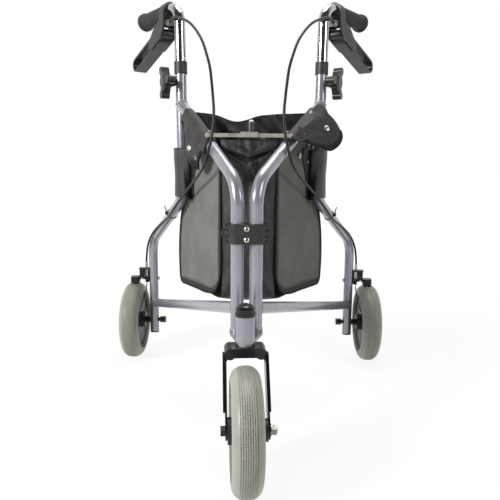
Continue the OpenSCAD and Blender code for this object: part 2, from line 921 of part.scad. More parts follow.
module brake_arm(s) {
    half = ear_in - 0.5;
    shoe_from = pivot_x + 7.5;
    shoe_to = pivot_x + 29;
    color([0.11, 0.11, 0.11])
        on_leg(s)
            difference() {
                union() {
                    translate([pivot_x, -half, pivot_z])
                        rotate([-90, 0, 0])
                            cylinder(h = 2 * half, d = pivot_d + 6, $fn = round_fn);
                    translate([wire_x - 3, -half + 2, arm_top - arm_bar_h])
                        cube([shoe_to - wire_x + 3, 2 * half - 4, arm_bar_h]);
                    // clamp of the inner wire
                    translate([wire_x, 0, arm_end_z - 12])
                        cylinder(h = 16, r = 3.6, $fn = round_fn);
                    translate([shoe_from, 0, wheel_d - 8])
                        linear_extrude(pivot_z - wheel_d + 8)
                            shoe_outline(shoe_to - shoe_from, 12, 6);
                }
                // tread side of the shoe, hollowed to the tyre
                translate([pivot_x - 30, 0, axle_z])
                    rotate([0, 90, 0])
                        cylinder(h = 80, r = wheel_r + shoe_gap, $fn = 128);
                translate([pivot_x, -2 * half, pivot_z])
                    rotate([-90, 0, 0])
                        cylinder(h = 4 * half, r = pivot_d / 2 + run_fit, $fn = round_fn);
                translate([wire_x, 0, arm_end_z - 30])
                    cylinder(h = 60, r = wire_r + 0.2, $fn = 32);
            }
}

// Shoe in plan: length, half width and the radius of its corners
module shoe_outline(len, half, r) {
    translate([0, r - half])
        square([len, 2 * (half - r)]);
    translate([r, -half])
        square([len - 2 * r, 2 * half]);
    for (x = [r, len - r])
        for (e = [-1, 1])
            translate([x, e * (half - r)])
                circle(r, $fn = round_fn);
}

// Swept round strand: points along the middle line, with a steady reference direction
function tangent(p, i) = unit(p[min(i + 1, len(p) - 1)] - p[max(i - 1, 0)]);
function across(t, ref) = unit(cross(t, ref));
function strand_points(p, r, n, ref) = [
    for (i = [0 : len(p) - 1])
        let (t = tangent(p, i), a = across(t, ref), b = cross(t, a))
            for (k = [0 : n - 1]) p[i] + r * (cos(k * 360 / n) * a + sin(k * 360 / n) * b)
];
function strand_faces(m, n) = concat(
    [for (i = [0 : m - 2]) for (k = [0 : n - 1]) each [
        [i * n + k, (i + 1) * n + k, (i + 1) * n + (k + 1) % n],
        [i * n + k, (i + 1) * n + (k + 1) % n, i * n + (k + 1) % n]]],
    [for (k = [1 : n - 2]) [0, k, k + 1]],
    [for (k = [1 : n - 2]) [(m - 1) * n, (m - 1) * n + k + 1, (m - 1) * n + k]]
);

module strand(p, r, n, ref) {
    polyhedron(strand_points(p, r, n, ref), strand_faces(len(p), n), convexity = 8);
}

// Return spring round the inner wire, between the strip and the arm
wire_r = 0.9;
curl_rings = 8;
spring_low = arm_top + clear;
spring_high = strip_z - strip_t - clear;
spring_rise = (spring_high - spring_low - spring_wire) / spring_n;
spring_line = [
    for (i = [0 : spring_n * curl_rings])
        let (a = i * 360 / curl_rings)
            [(spring_d - spring_wire) / 2 * cos(a), (spring_d - spring_wire) / 2 * sin(a),
                spring_low + spring_wire / 2 + i * spring_rise / curl_rings]
];
// Least gap between two curls of the spring, measured from ring to ring
spring_gap = min([
    for (i = [0 : len(spring_line) - 1])
        for (j = [i + curl_rings / 2 : 1 : len(spring_line) - 1])
            norm(spring_line[i] - spring_line[j]) - spring_wire
]);
echo(spring_least_gap = spring_gap);

module brake_spring(s) {
    color([0.75, 0.75, 0.73])
        on_leg(s)
            translate([wire_x, 0, 0])
                strand(spring_line, spring_wire / 2, 6, [0, 0, 1]);
}

// Brake cable on the left side; the right one is its mirror image
cable_drawn = [
    [164.6, 105, 775], [161, 99, 775.3], [159, 88.5, 776], [154.5, 77, 775.7], [147, 64, 773], [137, 50, 768],
    [127, 34, 761], [117, 18, 753], [106, 2, 741], [95, -14, 725], [85, -30, 706], [77, -44, 683],
    [70, -55, 658], [66, -64, 631], [63, -73, 605], [61, -81, 580], [62, -88, 553], [66, -91, 528],
    [72, -86, 505], [80, -68, 487], [92, -40, 471], [106, -6, 456], [122, 28, 440], [141, 66, 420],
    [162.5, 97.8, 395], [183, 140, 371], [203.7, 177.7, 355], [220.5, 208.8, 341], [235.3, 237.8, 326],
    [248, 262, 308], [257, 277, 288], [262, 287, 266], [264.55, 292.5, 245.5]
];

// The route keeps its form between the adjuster's mouth and the barrel's
function turn_y(a, v) = [v[0] * cos(a) + v[2] * sin(a), v[1], v[2] * cos(a) - v[0] * sin(a)];
function turn_z(a, v) = [v[0] * cos(a) - v[1] * sin(a), v[0] * sin(a) + v[1] * cos(a), v[2]];
function grip_point(v) = [post_x, post_y, 0] + turn_z(90 - splay, [leg_at(socket_z), 0, socket_z]
    + turn_y(leg_lean, turn_z(-grip_turn, [0, 0, grip_z] + turn_y(-leg_lean, v))));
cable_start = grip_point([housing_from - adjuster_len - clear, -adjuster_side, -adjuster_drop]);
cable_end = [leg_x + wire_x, leg_y, strip_z + 16];
cable_last = len(cable_drawn) - 1;
cable_route = [
    for (i = [0 : cable_last])
        cable_drawn[i] + (1 - i / cable_last) * (cable_start - cable_drawn[0])
            + i / cable_last * (cable_end - cable_drawn[cable_last])
];

module brake_cable(s) {
    color([0.1, 0.1, 0.1])
        sided(s) {
            strand(cable_route, cable_d / 2, 8, [1, 0, 0]);
            translate([leg_x + wire_x, leg_y, arm_end_z - 11])
                cylinder(h = cable_end[2] - arm_end_z + 10, r = wire_r, $fn = 16);
        }
}

// Lower cable barrel on the strip, and the tie that holds the cable to the leg
module cable_fittings(s) {
    color([0.7, 0.7, 0.68])
        on_leg(s)
            translate([wire_x, 0, strip_z])
                ring(15, 3.4, wire_r + 0.2);
    color([0.05, 0.05, 0.05])
        on_side(s)
            translate([tie_t, 0, tie_z])
                rotate([0, 90 + leg_slope, 0])
                    ring(4, tube_r + 1.6, tube_r + 0.2);
}

leg_slope = atan2(leg_path[1][1] - leg_path[2][1], leg_path[2][0] - leg_path[1][0]);
tie_t = 352;
tie_z = knee_z - (tie_t - leg_at(knee_z)) * tan(leg_slope);

// Handle
handle_shoulder = 5;
handle_stem_len = handle_travel + handle_hold;

module handle_tube(s) {
    path = [[0, handle_shoulder], [0, grip_z], [grip_reach - 6, grip_z + (grip_reach - 6) * tan(leg_lean)]];
    stem_r = handle_stem_d / 2;
    color([0.8, 0.8, 0.82])
        on_handle(s) {
            tube(path, handle_bend_r, tube_r, tube_wall);
            translate([0, 0, -handle_stem_len])
                ring(handle_stem_len + handle_shoulder, stem_r, stem_r - tube_wall);
            // shoulder between the two diameters
            translate([0, 0, handle_shoulder - 2])
                ring(4, tube_r - 0.6, stem_r - tube_wall - 0.2);
        }
}

// Frame along the grip: X back along its axis from above the tube, Z up
module on_grip(s) {
    on_handle(s)
        translate([0, 0, grip_z])
            rotate([0, -leg_lean, 0])
                children();
}

module grip(s) {
    from = grip_reach - grip_len;
    color([0.16, 0.16, 0.16])
        on_grip(s)
            rotate([0, 90, 0])
                difference() {
                    union() {
                        translate([0, 0, from])
                            cylinder(h = grip_len - 14, r1 = grip_d / 2 - 2, r2 = grip_d / 2, $fn = round_fn);
                        translate([0, 0, grip_reach - 14])
                            cylinder(h = 8, r1 = grip_d / 2, r2 = grip_flange_d / 2, $fn = round_fn);
                        translate([0, 0, grip_reach - 6])
                            cylinder(h = 6, d = grip_flange_d, $fn = round_fn);
                    }
                    translate([0, 0, from - eps])
                        cylinder(h = grip_len - 6 + eps, r = tube_r, $fn = round_fn);
                }
}

// Brake housing: band round the handle tube with two cheeks down to the lever's pivot
housing_to = grip_reach - grip_len - 1;
cheek_t = 4;
cheek_y = lever_w / 2 + 0.5;
lever_pin_d = 6;

module brake_housing(s) {
    len_x = housing_to - housing_from;
    color([0.08, 0.08, 0.09])
        on_grip(s)
            difference() {
                union() {
                    translate([housing_from, 0, 0])
                        rotate([0, 90, 0])
                            cylinder(h = len_x, r = tube_r + 5, $fn = round_fn);
                    translate([housing_from, -cheek_y - cheek_t, cheek_boss_r * 1.2 - lever_drop])
                        cube([len_x, 2 * (cheek_y + cheek_t), lever_drop - cheek_boss_r * 1.4]);
                    for (e = [-1, 1])
                        translate([0, e > 0 ? cheek_y : -cheek_y - cheek_t, 0])
                            rotate([90, 0, 0])
                                translate([0, 0, -cheek_t])
                                    linear_extrude(cheek_t)
                                        cheek_outline();
                }
                translate([housing_from - eps, 0, 0])
                    rotate([0, 90, 0])
                        cylinder(h = len_x + 2 * eps, r = tube_r, $fn = round_fn);
            }
    // pivot pin of the lever
    color([0.08, 0.08, 0.09])
        on_grip(s)
            translate([lever_back, -cheek_y - cheek_t, -lever_drop])
                rotate([-90, 0, 0])
                    cylinder(h = 2 * (cheek_y + cheek_t), d = lever_pin_d, $fn = round_fn);
}

module cheek_outline() {
    r = cheek_boss_r;
    long = cheek_reach;
    low = cheek_low;
    translate([lever_back, -lever_drop]) {
        polygon([[housing_from - lever_back, lever_drop - 0.4 * r], [housing_from - lever_back, 2 * r],
            [-1.4 * r, 0.2 * r], [-0.4 * r, -r], [0.76 * long, -low], [long, -0.89 * low],
            [0.93 * long, -0.44 * low], [0.45 * long, 0.52 * low], [housing_to - lever_back, 0.93 * low],
            [housing_to - lever_back, lever_drop - 0.4 * r]]);
        circle(r, $fn = round_fn);
    }
}

module cable_adjuster(s) {
    color([0.75, 0.75, 0.73])
        on_grip(s)
            translate([housing_from, -adjuster_side, -adjuster_drop])
                rotate([0, -90, 0]) {
                    cylinder(h = 5, d = 14, $fn = 6);
                    cylinder(h = adjuster_len, d = 9, $fn = round_fn);
                }
}

// Brake lever: a closed loop of strap with a boss on the pivot
module lever_outline(grow) {
    r = lever_h / 2 + grow;
    translate([0, -r])
        square([lever_len - lever_h, 2 * r]);
    for (x = [0, lever_len - lever_h])
        translate([x, 0])
            circle(r, $fn = round_fn);
}

module brake_lever(s) {
    boss_r = 9;
    color([0.12, 0.12, 0.12])
        on_grip(s)
            translate([lever_back, 0, -lever_drop])
                rotate([0, lever_droop, 0])
                    rotate([90, 0, 0])
                        translate([0, 0, -lever_w / 2])
                            difference() {
                                union() {
                                    linear_extrude(lever_w)
                                        translate([lever_h / 2 + 4, 2])
                                            difference() {
                                                lever_outline(0);
                                                lever_outline(-lever_t);
                                            }
                                    cylinder(h = lever_w, r = boss_r, $fn = round_fn);
                                }
                                translate([0, 0, -eps])
                                    cylinder(h = lever_w + 2 * eps, r = lever_pin_d / 2 + run_fit, $fn = round_fn);
                            }
}

// Clamping knob: three lobes on a hub, with its screw in the leg's threaded hole
module knob_outline() {
    lobe_w = 15;
    arm_w = 12;
    circle(12, $fn = round_fn);
    for (a = [60, 180, 300])
        rotate([0, 0, a]) {
            translate([0, -arm_w / 2])
                square([knob_d / 2 - lobe_w / 2, arm_w]);
            translate([knob_d / 2 - lobe_w / 2, 0])
                circle(d = lobe_w, $fn = round_fn);
        }
}

module height_knob(s) {
    lobe_t = 17;
    hub_len = 11;
    face_h = 3;
    tip = handle_stem_d / 2 + 0.2;
    color([0.09, 0.09, 0.09])
        on_side(s)
            knob_place() {
                translate([0, 0, tip])
                    cylinder(h = tube_r + hub_len / 2 - tip, d = knob_screw_d, $fn = round_fn);
                translate([0, 0, tube_r + 1])
                    cylinder(h = hub_len - 1, r1 = 7, r2 = 10, $fn = round_fn);
                translate([0, 0, tube_r + hub_len])
                    linear_extrude(lobe_t)
                        knob_outline();
                translate([0, 0, tube_r + hub_len + lobe_t - eps])
                    cylinder(h = face_h, r1 = knob_d / 4, r2 = knob_d / 6, $fn = round_fn);
            }
}

// Lock brace. The stud on each upper rail carries a bracket that swivels on it
stud_in = 4.5;
stud_back = 12;
stud_d = 8;
brace_y = head_y + 157;
tab_t = 2;
tab_y = brace_y + brace_bar_t / 2 + 0.3;
bracket_base_z = brace_z + 4;
stud_x = brace_x - stud_in;
stud_y = brace_y + stud_back;
bar_r = brace_bar_h / 2;

module brace_stud(s) {
    foot_low = brace_z - 12;
    sided(s)
        difference() {
            translate([stud_x, stud_y, foot_low]) {
                cylinder(h = bracket_base_z - 0.3 - foot_low, d = stud_d + 4, $fn = round_fn);
                cylinder(h = bracket_base_z + 5 - foot_low, d = stud_d, $fn = round_fn);
            }
            translate([post_x, post_y, 0])
                rotate([0, 0, 90 - splay])
                    rail_core(tube_r - tube_wall / 2);
        }
}

// Bracket: base plate on the stud and a tab that stands in front of it
module brace_bracket(s, reach) {
    base_t = 2;
    out = brace_x + bar_r + reach;
    color([0.72, 0.72, 0.7])
        sided(s)
            difference() {
                union() {
                    translate([stud_x, stud_y, bracket_base_z])
                        cylinder(h = base_t, d = stud_d + 8, $fn = round_fn);
                    translate([stud_x - 8, tab_y, bracket_base_z])
                        cube([16, stud_y - tab_y, base_t]);
                    translate([stud_x - 8, tab_y, brace_z - bar_r])
                        cube([out - stud_x + 8, tab_t, bracket_base_z + base_t - brace_z + bar_r]);
                }
                translate([stud_x, stud_y, bracket_base_z - eps])
                    cylinder(h = base_t + 2 * eps, r = stud_d / 2 + run_fit, $fn = round_fn);
                if (reach > 0) {
                    // slot of the loose end
                    translate([brace_x, tab_y - eps, brace_z - brace_pin_d / 2 - 0.3])
                        cube([reach, tab_t + 2 * eps, brace_pin_d + 0.6]);
                    for (x = [0, reach])
                        translate([brace_x + x, tab_y - eps, brace_z])
                            rotate([-90, 0, 0])
                                cylinder(h = tab_t + 2 * eps, r = brace_pin_d / 2 + 0.3, $fn = 32);
                }
                else
                    translate([brace_x, tab_y - eps, brace_z])
                        rotate([-90, 0, 0])
                            cylinder(h = tab_t + 2 * eps, r = brace_pin_d / 2 + run_fit, $fn = 32);
            }
}

module left_brace_bracket() {
    brace_bracket(1, brace_slot);
}

module right_brace_bracket() {
    brace_bracket(-1, 0);
}

// Flat bar from one x to another with round ends, in the plane of the brace
module flat_bar(from, to) {
    translate([0, brace_y + brace_bar_t / 2, brace_z])
        rotate([90, 0, 0])
            linear_extrude(brace_bar_t) {
                translate([from, -bar_r])
                    square([to - from, brace_bar_h]);
                for (x = [from, to])
                    translate([x, 0])
                        circle(bar_r, $fn = round_fn);
            }
}

// Screw through a bar's end, with its head in front and its tail in the bracket
module brace_pin(x) {
    translate([x, brace_y - brace_bar_t / 2 - 3, brace_z])
        rotate([-90, 0, 0]) {
            cylinder(h = 3, d = brace_pin_d + 5, $fn = round_fn);
            cylinder(h = 3 + brace_bar_t + tab_t + 1.3, d = brace_pin_d, $fn = 32);
        }
}

module right_brace_link() {
    color([0.74, 0.73, 0.7]) {
        difference() {
            flat_bar(-brace_x, 0);
            translate([0, brace_y - brace_bar_t, brace_z])
                rotate([-90, 0, 0])
                    cylinder(h = 2 * brace_bar_t, r = brace_pin_d / 2 + run_fit, $fn = 32);
        }
        brace_pin(-brace_x);
    }
}

// Channel over the middle pivot, open below, with the left bar welded in its end
channel_t = 2;
channel_from = -15;
channel_to = 16;
channel_top = brace_z + bar_r + 0.5;
module left_brace_link() {
    wall_in = brace_bar_t / 2 + 0.3;
    color([0.74, 0.73, 0.7])
        difference() {
            union() {
                for (e = [-1, 1])
                    translate([channel_from, brace_y + (e > 0 ? wall_in : -wall_in - channel_t), brace_z - bar_r])
                        cube([channel_to - channel_from, channel_t, brace_bar_h + 0.5]);
                translate([channel_from, brace_y - wall_in - channel_t, channel_top])
                    cube([channel_to - channel_from, 2 * (wall_in + channel_t), channel_t]);
                intersection() {
                    flat_bar(0, brace_x);
                    translate([channel_to - 4, brace_y - 20, brace_z - 20])
                        cube([brace_x, 40, 40]);
                }
                translate([channel_to - 4, brace_y - wall_in, brace_z - bar_r])
                    cube([4, 2 * wall_in, brace_bar_h]);
                brace_pin(brace_x);
                translate([0, brace_y - wall_in - channel_t - 1, brace_z])
                    rotate([-90, 0, 0])
                        cylinder(h = 2 * (wall_in + channel_t + 1), d = brace_pin_d, $fn = 32);
            }
            translate([brace_knob_x, brace_y, channel_top - eps])
                cylinder(h = channel_t + 2 * eps, d = 3, $fn = 32);
        }
}

brace_knob_x = 4;
module brace_knob() {
    base = channel_top + channel_t;
    color([0.08, 0.08, 0.08])
        translate([brace_knob_x, brace_y, base]) {
            cylinder(h = brace_knob_h, d = brace_knob_d, $fn = round_fn);
            translate([0, 0, -channel_t])
                cylinder(h = channel_t + eps, d = 3, $fn = 32);
            intersection() {
                translate([0, 0, brace_knob_h])
                    cylinder(h = 4, d = 9, $fn = round_fn);
                translate([0, 0, brace_knob_h - 2])
                    sphere(6, $fn = round_fn);
            }
        }
}

// Bag: side walls hang on the rails, and the middle joins them
bag_in = tube_r + 2;
sleeve_low = knee_z - 2;
sleeve_high = 523;
loop_from = 158;
loop_to = 244;

module bag_side(s) {
    sleeve_r = tube_r + clear;
    color([0.27, 0.27, 0.27])
        on_side(s) {
            difference() {
                union() {
                    translate([0, bag_in + bag_wall, 0])
                        rotate([90, 0, 0])
                            linear_extrude(bag_wall)
                                bag_side_outline();
                    // sleeve round the leg and loop over the rail
                    rod([leg_at(knee_z + 34), 0, knee_z + 34], [leg_at(sleeve_high), 0, sleeve_high],
                        sleeve_r + bag_wall);
                    rod([loop_from, 0, rail_at(loop_from)], [loop_to, 0, rail_at(loop_to)], sleeve_r + bag_wall);
                }
                leg_core(sleeve_r);
                rail_core(sleeve_r);
            }
        }
}

// Corners of the bag's outline seen from the side: reach behind the posts and height
bag_corner = 22;
bag_top_t = leg_at(sleeve_high) + 10;
bag_back_top = 575;
bag_under = [[bag_front_t, bag_z + bag_corner], [bag_front_t + bag_corner, bag_z],
    [bag_back_t - bag_corner, bag_z], [bag_back_t, bag_z + bag_corner], [bag_back_t - 4, knee_z],
    [bag_top_t, sleeve_high]];

module bag_side_outline() {
    polygon(concat(bag_under, [[loop_to, rail_at(loop_to) - bag_top_drop],
        [bag_front_t, rail_at(bag_front_t) - bag_top_drop]]));
}

// Plan of the bag's inside at an inset from its side walls
function bag_x(t) = post_x + t * sin(splay) - (bag_in + bag_wall + clear) * cos(splay);
function bag_y(t) = post_y + t * cos(splay) + (bag_in + bag_wall + clear) * sin(splay);

module bag_plan(from, to) {
    polygon([[-bag_x(from), bag_y(from)], [bag_x(from), bag_y(from)], [bag_x(to), bag_y(to)],
        [-bag_x(to), bag_y(to)]]);
}

// Front, bottom and back in one, cut to the plan between the side walls
module bag_middle() {
    front_top = rail_at(bag_front_t) - 14;
    w = bag_wall;
    k = bag_wall * tan(22.5);
    outer = concat([[bag_front_t, front_top]], bag_under, [[bag_top_t, bag_back_top]]);
    inner = [[bag_top_t - w, bag_back_top], [bag_top_t - w, sleeve_high], [bag_back_t - 4 - w, knee_z],
        [bag_back_t - w, bag_z + bag_corner + k], [bag_back_t - bag_corner - k, bag_z + w],
        [bag_front_t + bag_corner + k, bag_z + w], [bag_front_t + w, bag_z + bag_corner + k],
        [bag_front_t + w, front_top]];
    color([0.09, 0.09, 0.09])
        intersection() {
            translate([0, 0, bag_z - eps])
                linear_extrude(bag_back_top - bag_z + 2 * eps)
                    bag_plan(bag_front_t - eps, bag_back_t + eps);
            translate([-bag_back_t, 0, 0])
                rotate([90, 0, 90])
                    linear_extrude(2 * bag_back_t)
                        polygon([for (q = concat(outer, inner)) [bag_y(q[0]), q[1]]]);
        }
}

head_tube();
hinge_plate();
hinge_pins();
head_cap();
head_bearings();
clamp_front();
clamp_rear();
clamp_screws();
bag_middle();
fork();
front_axle();
front_tyre();
front_rim();
left_brace_bracket();
right_brace_bracket();
left_brace_link();
right_brace_link();
brace_knob();
for (side = [["left_", 1], ["right_", -1]]) {
    name = side[0];
    s = side[1];
    front_tube(s);
    rear_leg(s);
    lower_rail(s);
    post_bushes(s);
    leg_plug(s);
    height_collar(s);
    rear_axle(s);
    brake_bracket(s);
    cable_fittings(s);
    brake_cable(s);
    bag_side(s);
    rear_tyre(s);
    rear_rim(s);
    handle_tube(s);
    grip(s);
    brake_housing(s);
    cable_adjuster(s);
    height_knob(s);
    brake_lever(s);
    brake_arm(s);
    brake_spring(s);
}
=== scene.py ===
import math

import bpy
from mathutils import Matrix, Vector, noise


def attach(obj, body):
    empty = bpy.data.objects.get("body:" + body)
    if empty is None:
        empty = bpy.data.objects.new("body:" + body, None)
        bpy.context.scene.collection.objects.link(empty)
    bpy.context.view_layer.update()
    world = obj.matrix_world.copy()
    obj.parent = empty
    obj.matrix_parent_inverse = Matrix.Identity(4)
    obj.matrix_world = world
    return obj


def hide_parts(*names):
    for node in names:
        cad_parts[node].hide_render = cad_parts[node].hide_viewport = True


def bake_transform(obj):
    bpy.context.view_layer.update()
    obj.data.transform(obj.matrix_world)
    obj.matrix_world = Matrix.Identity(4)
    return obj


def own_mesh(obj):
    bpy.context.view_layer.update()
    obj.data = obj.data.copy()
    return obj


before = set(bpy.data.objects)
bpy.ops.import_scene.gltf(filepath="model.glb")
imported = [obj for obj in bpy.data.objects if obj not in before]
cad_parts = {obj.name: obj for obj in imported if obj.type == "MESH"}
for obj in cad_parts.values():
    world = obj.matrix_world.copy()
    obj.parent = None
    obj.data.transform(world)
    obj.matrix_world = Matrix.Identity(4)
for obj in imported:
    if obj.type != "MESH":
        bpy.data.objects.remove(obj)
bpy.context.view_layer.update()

# Camera as the photograph was taken: level with the bag, straight ahead of the front
# wheel and tipped a little down.
bpy.ops.object.select_all(action="DESELECT")
bpy.ops.object.camera_add(
    location=(0.0208, -1.0473, 0.4849),
    rotation=(math.radians(81.211), math.radians(-0.476), math.radians(1.08)),
)
camera = bpy.context.object
camera.data.sensor_width = 36
camera.data.lens = 38.84
bpy.context.scene.camera = camera
bpy.context.scene.view_settings.view_transform = "Standard"


# Studio: a white room with a dimmer side behind the camera, three soft lamps,
# and a pale floor that takes the shadow.
class Wire:
    """A socket in a node tree. Sums and products of wires and numbers add Math nodes."""

    def __init__(self, tree, socket=None):
        self.tree = tree
        self.socket = socket

    def node(self, kind, settings=None, sockets=None, out=0):
        made = self.tree.nodes.new("ShaderNode" + kind)
        for name, value in (settings or {}).items():
            setattr(made, name, value)
        for name, value in (sockets or {}).items():
            if isinstance(value, Wire):
                self.tree.links.new(value.socket, made.inputs[name])
            else:
                made.inputs[name].default_value = value
        return Wire(self.tree, made.outputs[out] if made.outputs else None)

    def calc(self, operation, first, second=0.0):
        return self.node("Math", {"operation": operation}, {0: first, 1: second})

    def __add__(self, other):
        return self.calc("ADD", self, other)

    def __radd__(self, other):
        return self.calc("ADD", other, self)

    def __sub__(self, other):
        return self.calc("SUBTRACT", self, other)

    def __rsub__(self, other):
        return self.calc("SUBTRACT", other, self)

    def __mul__(self, other):
        return self.calc("MULTIPLY", self, other)

    def __rmul__(self, other):
        return self.calc("MULTIPLY", other, self)

    def __pow__(self, other):
        return self.calc("POWER", self, other)

    def __abs__(self):
        return self.calc("ABSOLUTE", self)

    def rise(self, low, high):
        return self.node(
            "MapRange",
            {"interpolation_type": "SMOOTHSTEP"},
            {"Value": self, "From Min": low, "From Max": high},
        )

    def mix(self, first, second):
        return self.node("Mix", {"data_type": "RGBA"}, {0: self, 6: first, 7: second}, out=2)

    def part(self, axis):
        return self.node("SeparateXYZ", None, {0: self}, out=axis)

    def reach(self, other):
        return self.calc("SQRT", self ** 2 + other ** 2)

    def speckle(self, scale, detail, distortion=0.0):
        return self.node("TexNoise", None, {
            "Vector": self, "Scale": scale, "Detail": detail, "Distortion": distortion,
        })

    def waves(self, way, scale):
        return self.node("TexWave", {"bands_direction": way}, {"Vector": self, "Scale": scale})

    def relief(self, strength, distance):
        return self.node("Bump", None, {"Height": self, "Strength": strength, "Distance": distance})


def tone(red, green, blue):
    """A colour as read off a screen, turned into the light that a shader works in."""
    light = []
    for level in (red / 255, green / 255, blue / 255):
        light.append(level / 12.92 if level < 0.0405 else ((level + 0.055) / 1.055) ** 2.4)
    return [*light, 1.0]


def seen_directly(tree):
    """1 where a ray comes from the camera, a reflection or a clear piece, else 0."""
    eye = tree.node("LightPath", out="Is Camera Ray")
    shine = tree.node("LightPath", out="Is Glossy Ray")
    through = tree.node("LightPath", out="Is Transmission Ray")
    return tree.calc("MAXIMUM", tree.calc("MAXIMUM", eye, shine), through)


world = bpy.data.worlds.new("studio_room")
bpy.context.scene.world = world
world.use_nodes = True
world.node_tree.nodes.clear()
air = Wire(world.node_tree)
facing = air.node("TexCoord", out="Generated").part(1)
behind = (1 - facing.rise(-0.3, 0.55)) * (1 - air.node("LightPath", out="Is Camera Ray"))
wall = behind.mix((1.0, 1.0, 1.0, 1.0), (0.07, 0.07, 0.075, 1.0))
strength = 0.22 + seen_directly(air) * 0.78
air.node("OutputWorld", None, {0: air.node("Background", None, {"Color": wall, "Strength": strength})})

bpy.ops.mesh.primitive_plane_add(size=60)
floor = bpy.context.object
floor.name = "studio_floor"
floor_finish = bpy.data.materials.new("studio_floor")
floor_finish.use_nodes = True
floor_finish.node_tree.nodes.clear()
ground = Wire(floor_finish.node_tree)
matt = ground.node("BsdfDiffuse", None, {"Color": (0.8, 0.8, 0.8, 1.0)})
glow = ground.node("Emission", None, {"Color": (1.0, 1.0, 1.0, 1.0), "Strength": 1.06})
floor_spot = ground.node("TexCoord", out="Object")
away = ground.node("VectorMath", {"operation": "LENGTH"}, {0: floor_spot}, out=1)
white = seen_directly(ground) * (0.84 + away.rise(0.6, 1.8) * 0.16)
shown = ground.node("MixShader", None, {0: white, 1: matt, 2: glow})
ground.node("OutputMaterial", None, {0: shown})
floor.data.materials.append(floor_finish)

for place, size, power in (
    ((-1.95, -1.45, 1.4), 0.7, 72),
    ((1.9, -1.3, 1.4), 0.9, 18),
    ((0.1, 0.3, 2.4), 1.2, 26),
):
    aim = Vector((0.0, 0.0, 0.4)) - Vector(place)
    tilt = aim.to_track_quat("-Z", "Y").to_euler()
    bpy.ops.object.light_add(type="AREA", location=place, rotation=tilt)
    bpy.context.object.data.size = size
    bpy.context.object.data.energy = power


# Brake cables: a steel wire in a black plastic sheath. Each runs from the adjuster
# under its grip down past the bag and along the leg to the barrel above the brake.
def strand(name, points, radius, closed=False, swell=None):
    """A round run of wire, sheath, bead or piping along a smooth line, made a mesh."""
    bpy.ops.object.select_all(action="DESELECT")
    if closed:
        bpy.ops.curve.primitive_bezier_circle_add()
    else:
        bpy.ops.curve.primitive_bezier_curve_add()
    run = bpy.context.object
    run.name = name
    run.data.dimensions = "3D"
    line = run.data.splines[0]
    line.bezier_points.add(len(points) - len(line.bezier_points))
    for i, (knot, place) in enumerate(zip(line.bezier_points, points)):
        knot.co = place
        knot.handle_left_type = "AUTO"
        knot.handle_right_type = "AUTO"
        knot.radius = swell(i) if swell else 1.0
    line.resolution_u = 6
    run.data.bevel_depth = radius
    run.data.bevel_resolution = 4
    run.data.use_fill_caps = not closed
    bpy.ops.object.convert(target="MESH")
    bpy.ops.object.shade_smooth_by_angle(angle=math.radians(40))
    return bpy.context.object


def twin(piece, name):
    """The other side's copy of a piece: its own mesh, mirrored across the centre plane."""
    bpy.ops.object.select_all(action="DESELECT")
    piece.select_set(True)
    bpy.context.view_layer.objects.active = piece
    bpy.ops.object.duplicate()
    other = bpy.context.object
    other.name = name
    other.data.transform(Matrix.Diagonal((-1.0, 1.0, 1.0, 1.0)))
    bpy.ops.object.mode_set(mode="EDIT")
    bpy.ops.mesh.select_all(action="SELECT")
    bpy.ops.mesh.flip_normals()
    bpy.ops.object.mode_set(mode="OBJECT")
    return other


def finish(name):
    """A new material and the wire that carries the place on the piece."""
    material = bpy.data.materials.new(name)
    material.use_nodes = True
    material.node_tree.nodes.clear()
    return material, Wire(material.node_tree).node("TexCoord", out="Object")


def close(spot, sockets):
    """Ends a material with its shader and output."""
    spot.node("OutputMaterial", None, {0: spot.node("BsdfPrincipled", None, sockets)})


def dress(piece, material):
    """Gives a piece made here its one material."""
    piece.data.materials.clear()
    piece.data.materials.append(material)


# Points of the left cable's route in millimetres, from the adjuster down to the barrel.
cable_route = [
    (165, 105.2, 775), (161.4, 99.2, 775.3), (159.4, 88.7, 776), (154.9, 77.2, 775.7), (147.3, 64.2, 773),
    (137.3, 50.2, 768), (127.3, 34.2, 761), (117.3, 18.2, 753), (106.3, 2.2, 741), (95.3, -13.8, 725),
    (85.3, -29.9, 706), (77.3, -44.9, 683), (70.2, -58.4, 658), (66.2, -68.9, 631), (63.2, -77.9, 605),
    (61.2, -84.4, 580), (62.2, -88.9, 553), (66.2, -90.9, 528), (72.2, -85.9, 505), (80.2, -67.9, 487),
    (92.1, -39.9, 471), (106, -6, 456), (122, 28, 440), (141, 66, 420), (162.5, 97.8, 395),
    (183, 140, 371), (203.7, 177.7, 355), (220.5, 208.8, 341), (235.3, 237.8, 326), (248, 262, 308),
    (257, 277, 288), (262, 287, 266), (264.55, 292.502, 245.5),
]
cable_route = [Vector(p) * 0.001 for p in cable_route]

sheath_black, spot = finish("sheath_black")
scuff = spot.speckle(160.0, 3.0)
close(spot, {
    "Base Color": scuff.rise(0.4, 0.75).mix(tone(30, 29, 29), tone(42, 41, 40)),
    "Roughness": 0.3 + scuff * 0.2,
    "Specular IOR Level": 0.3,
})
left_cable = strand("left_cable_sheath", cable_route, 0.0025)
right_cable = twin(left_cable, "right_cable_sheath")
for side, piece in (("left", left_cable), ("right", right_cable)):
    dress(piece, sheath_black)
    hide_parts(side + "_brake_cable")
    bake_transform(piece)

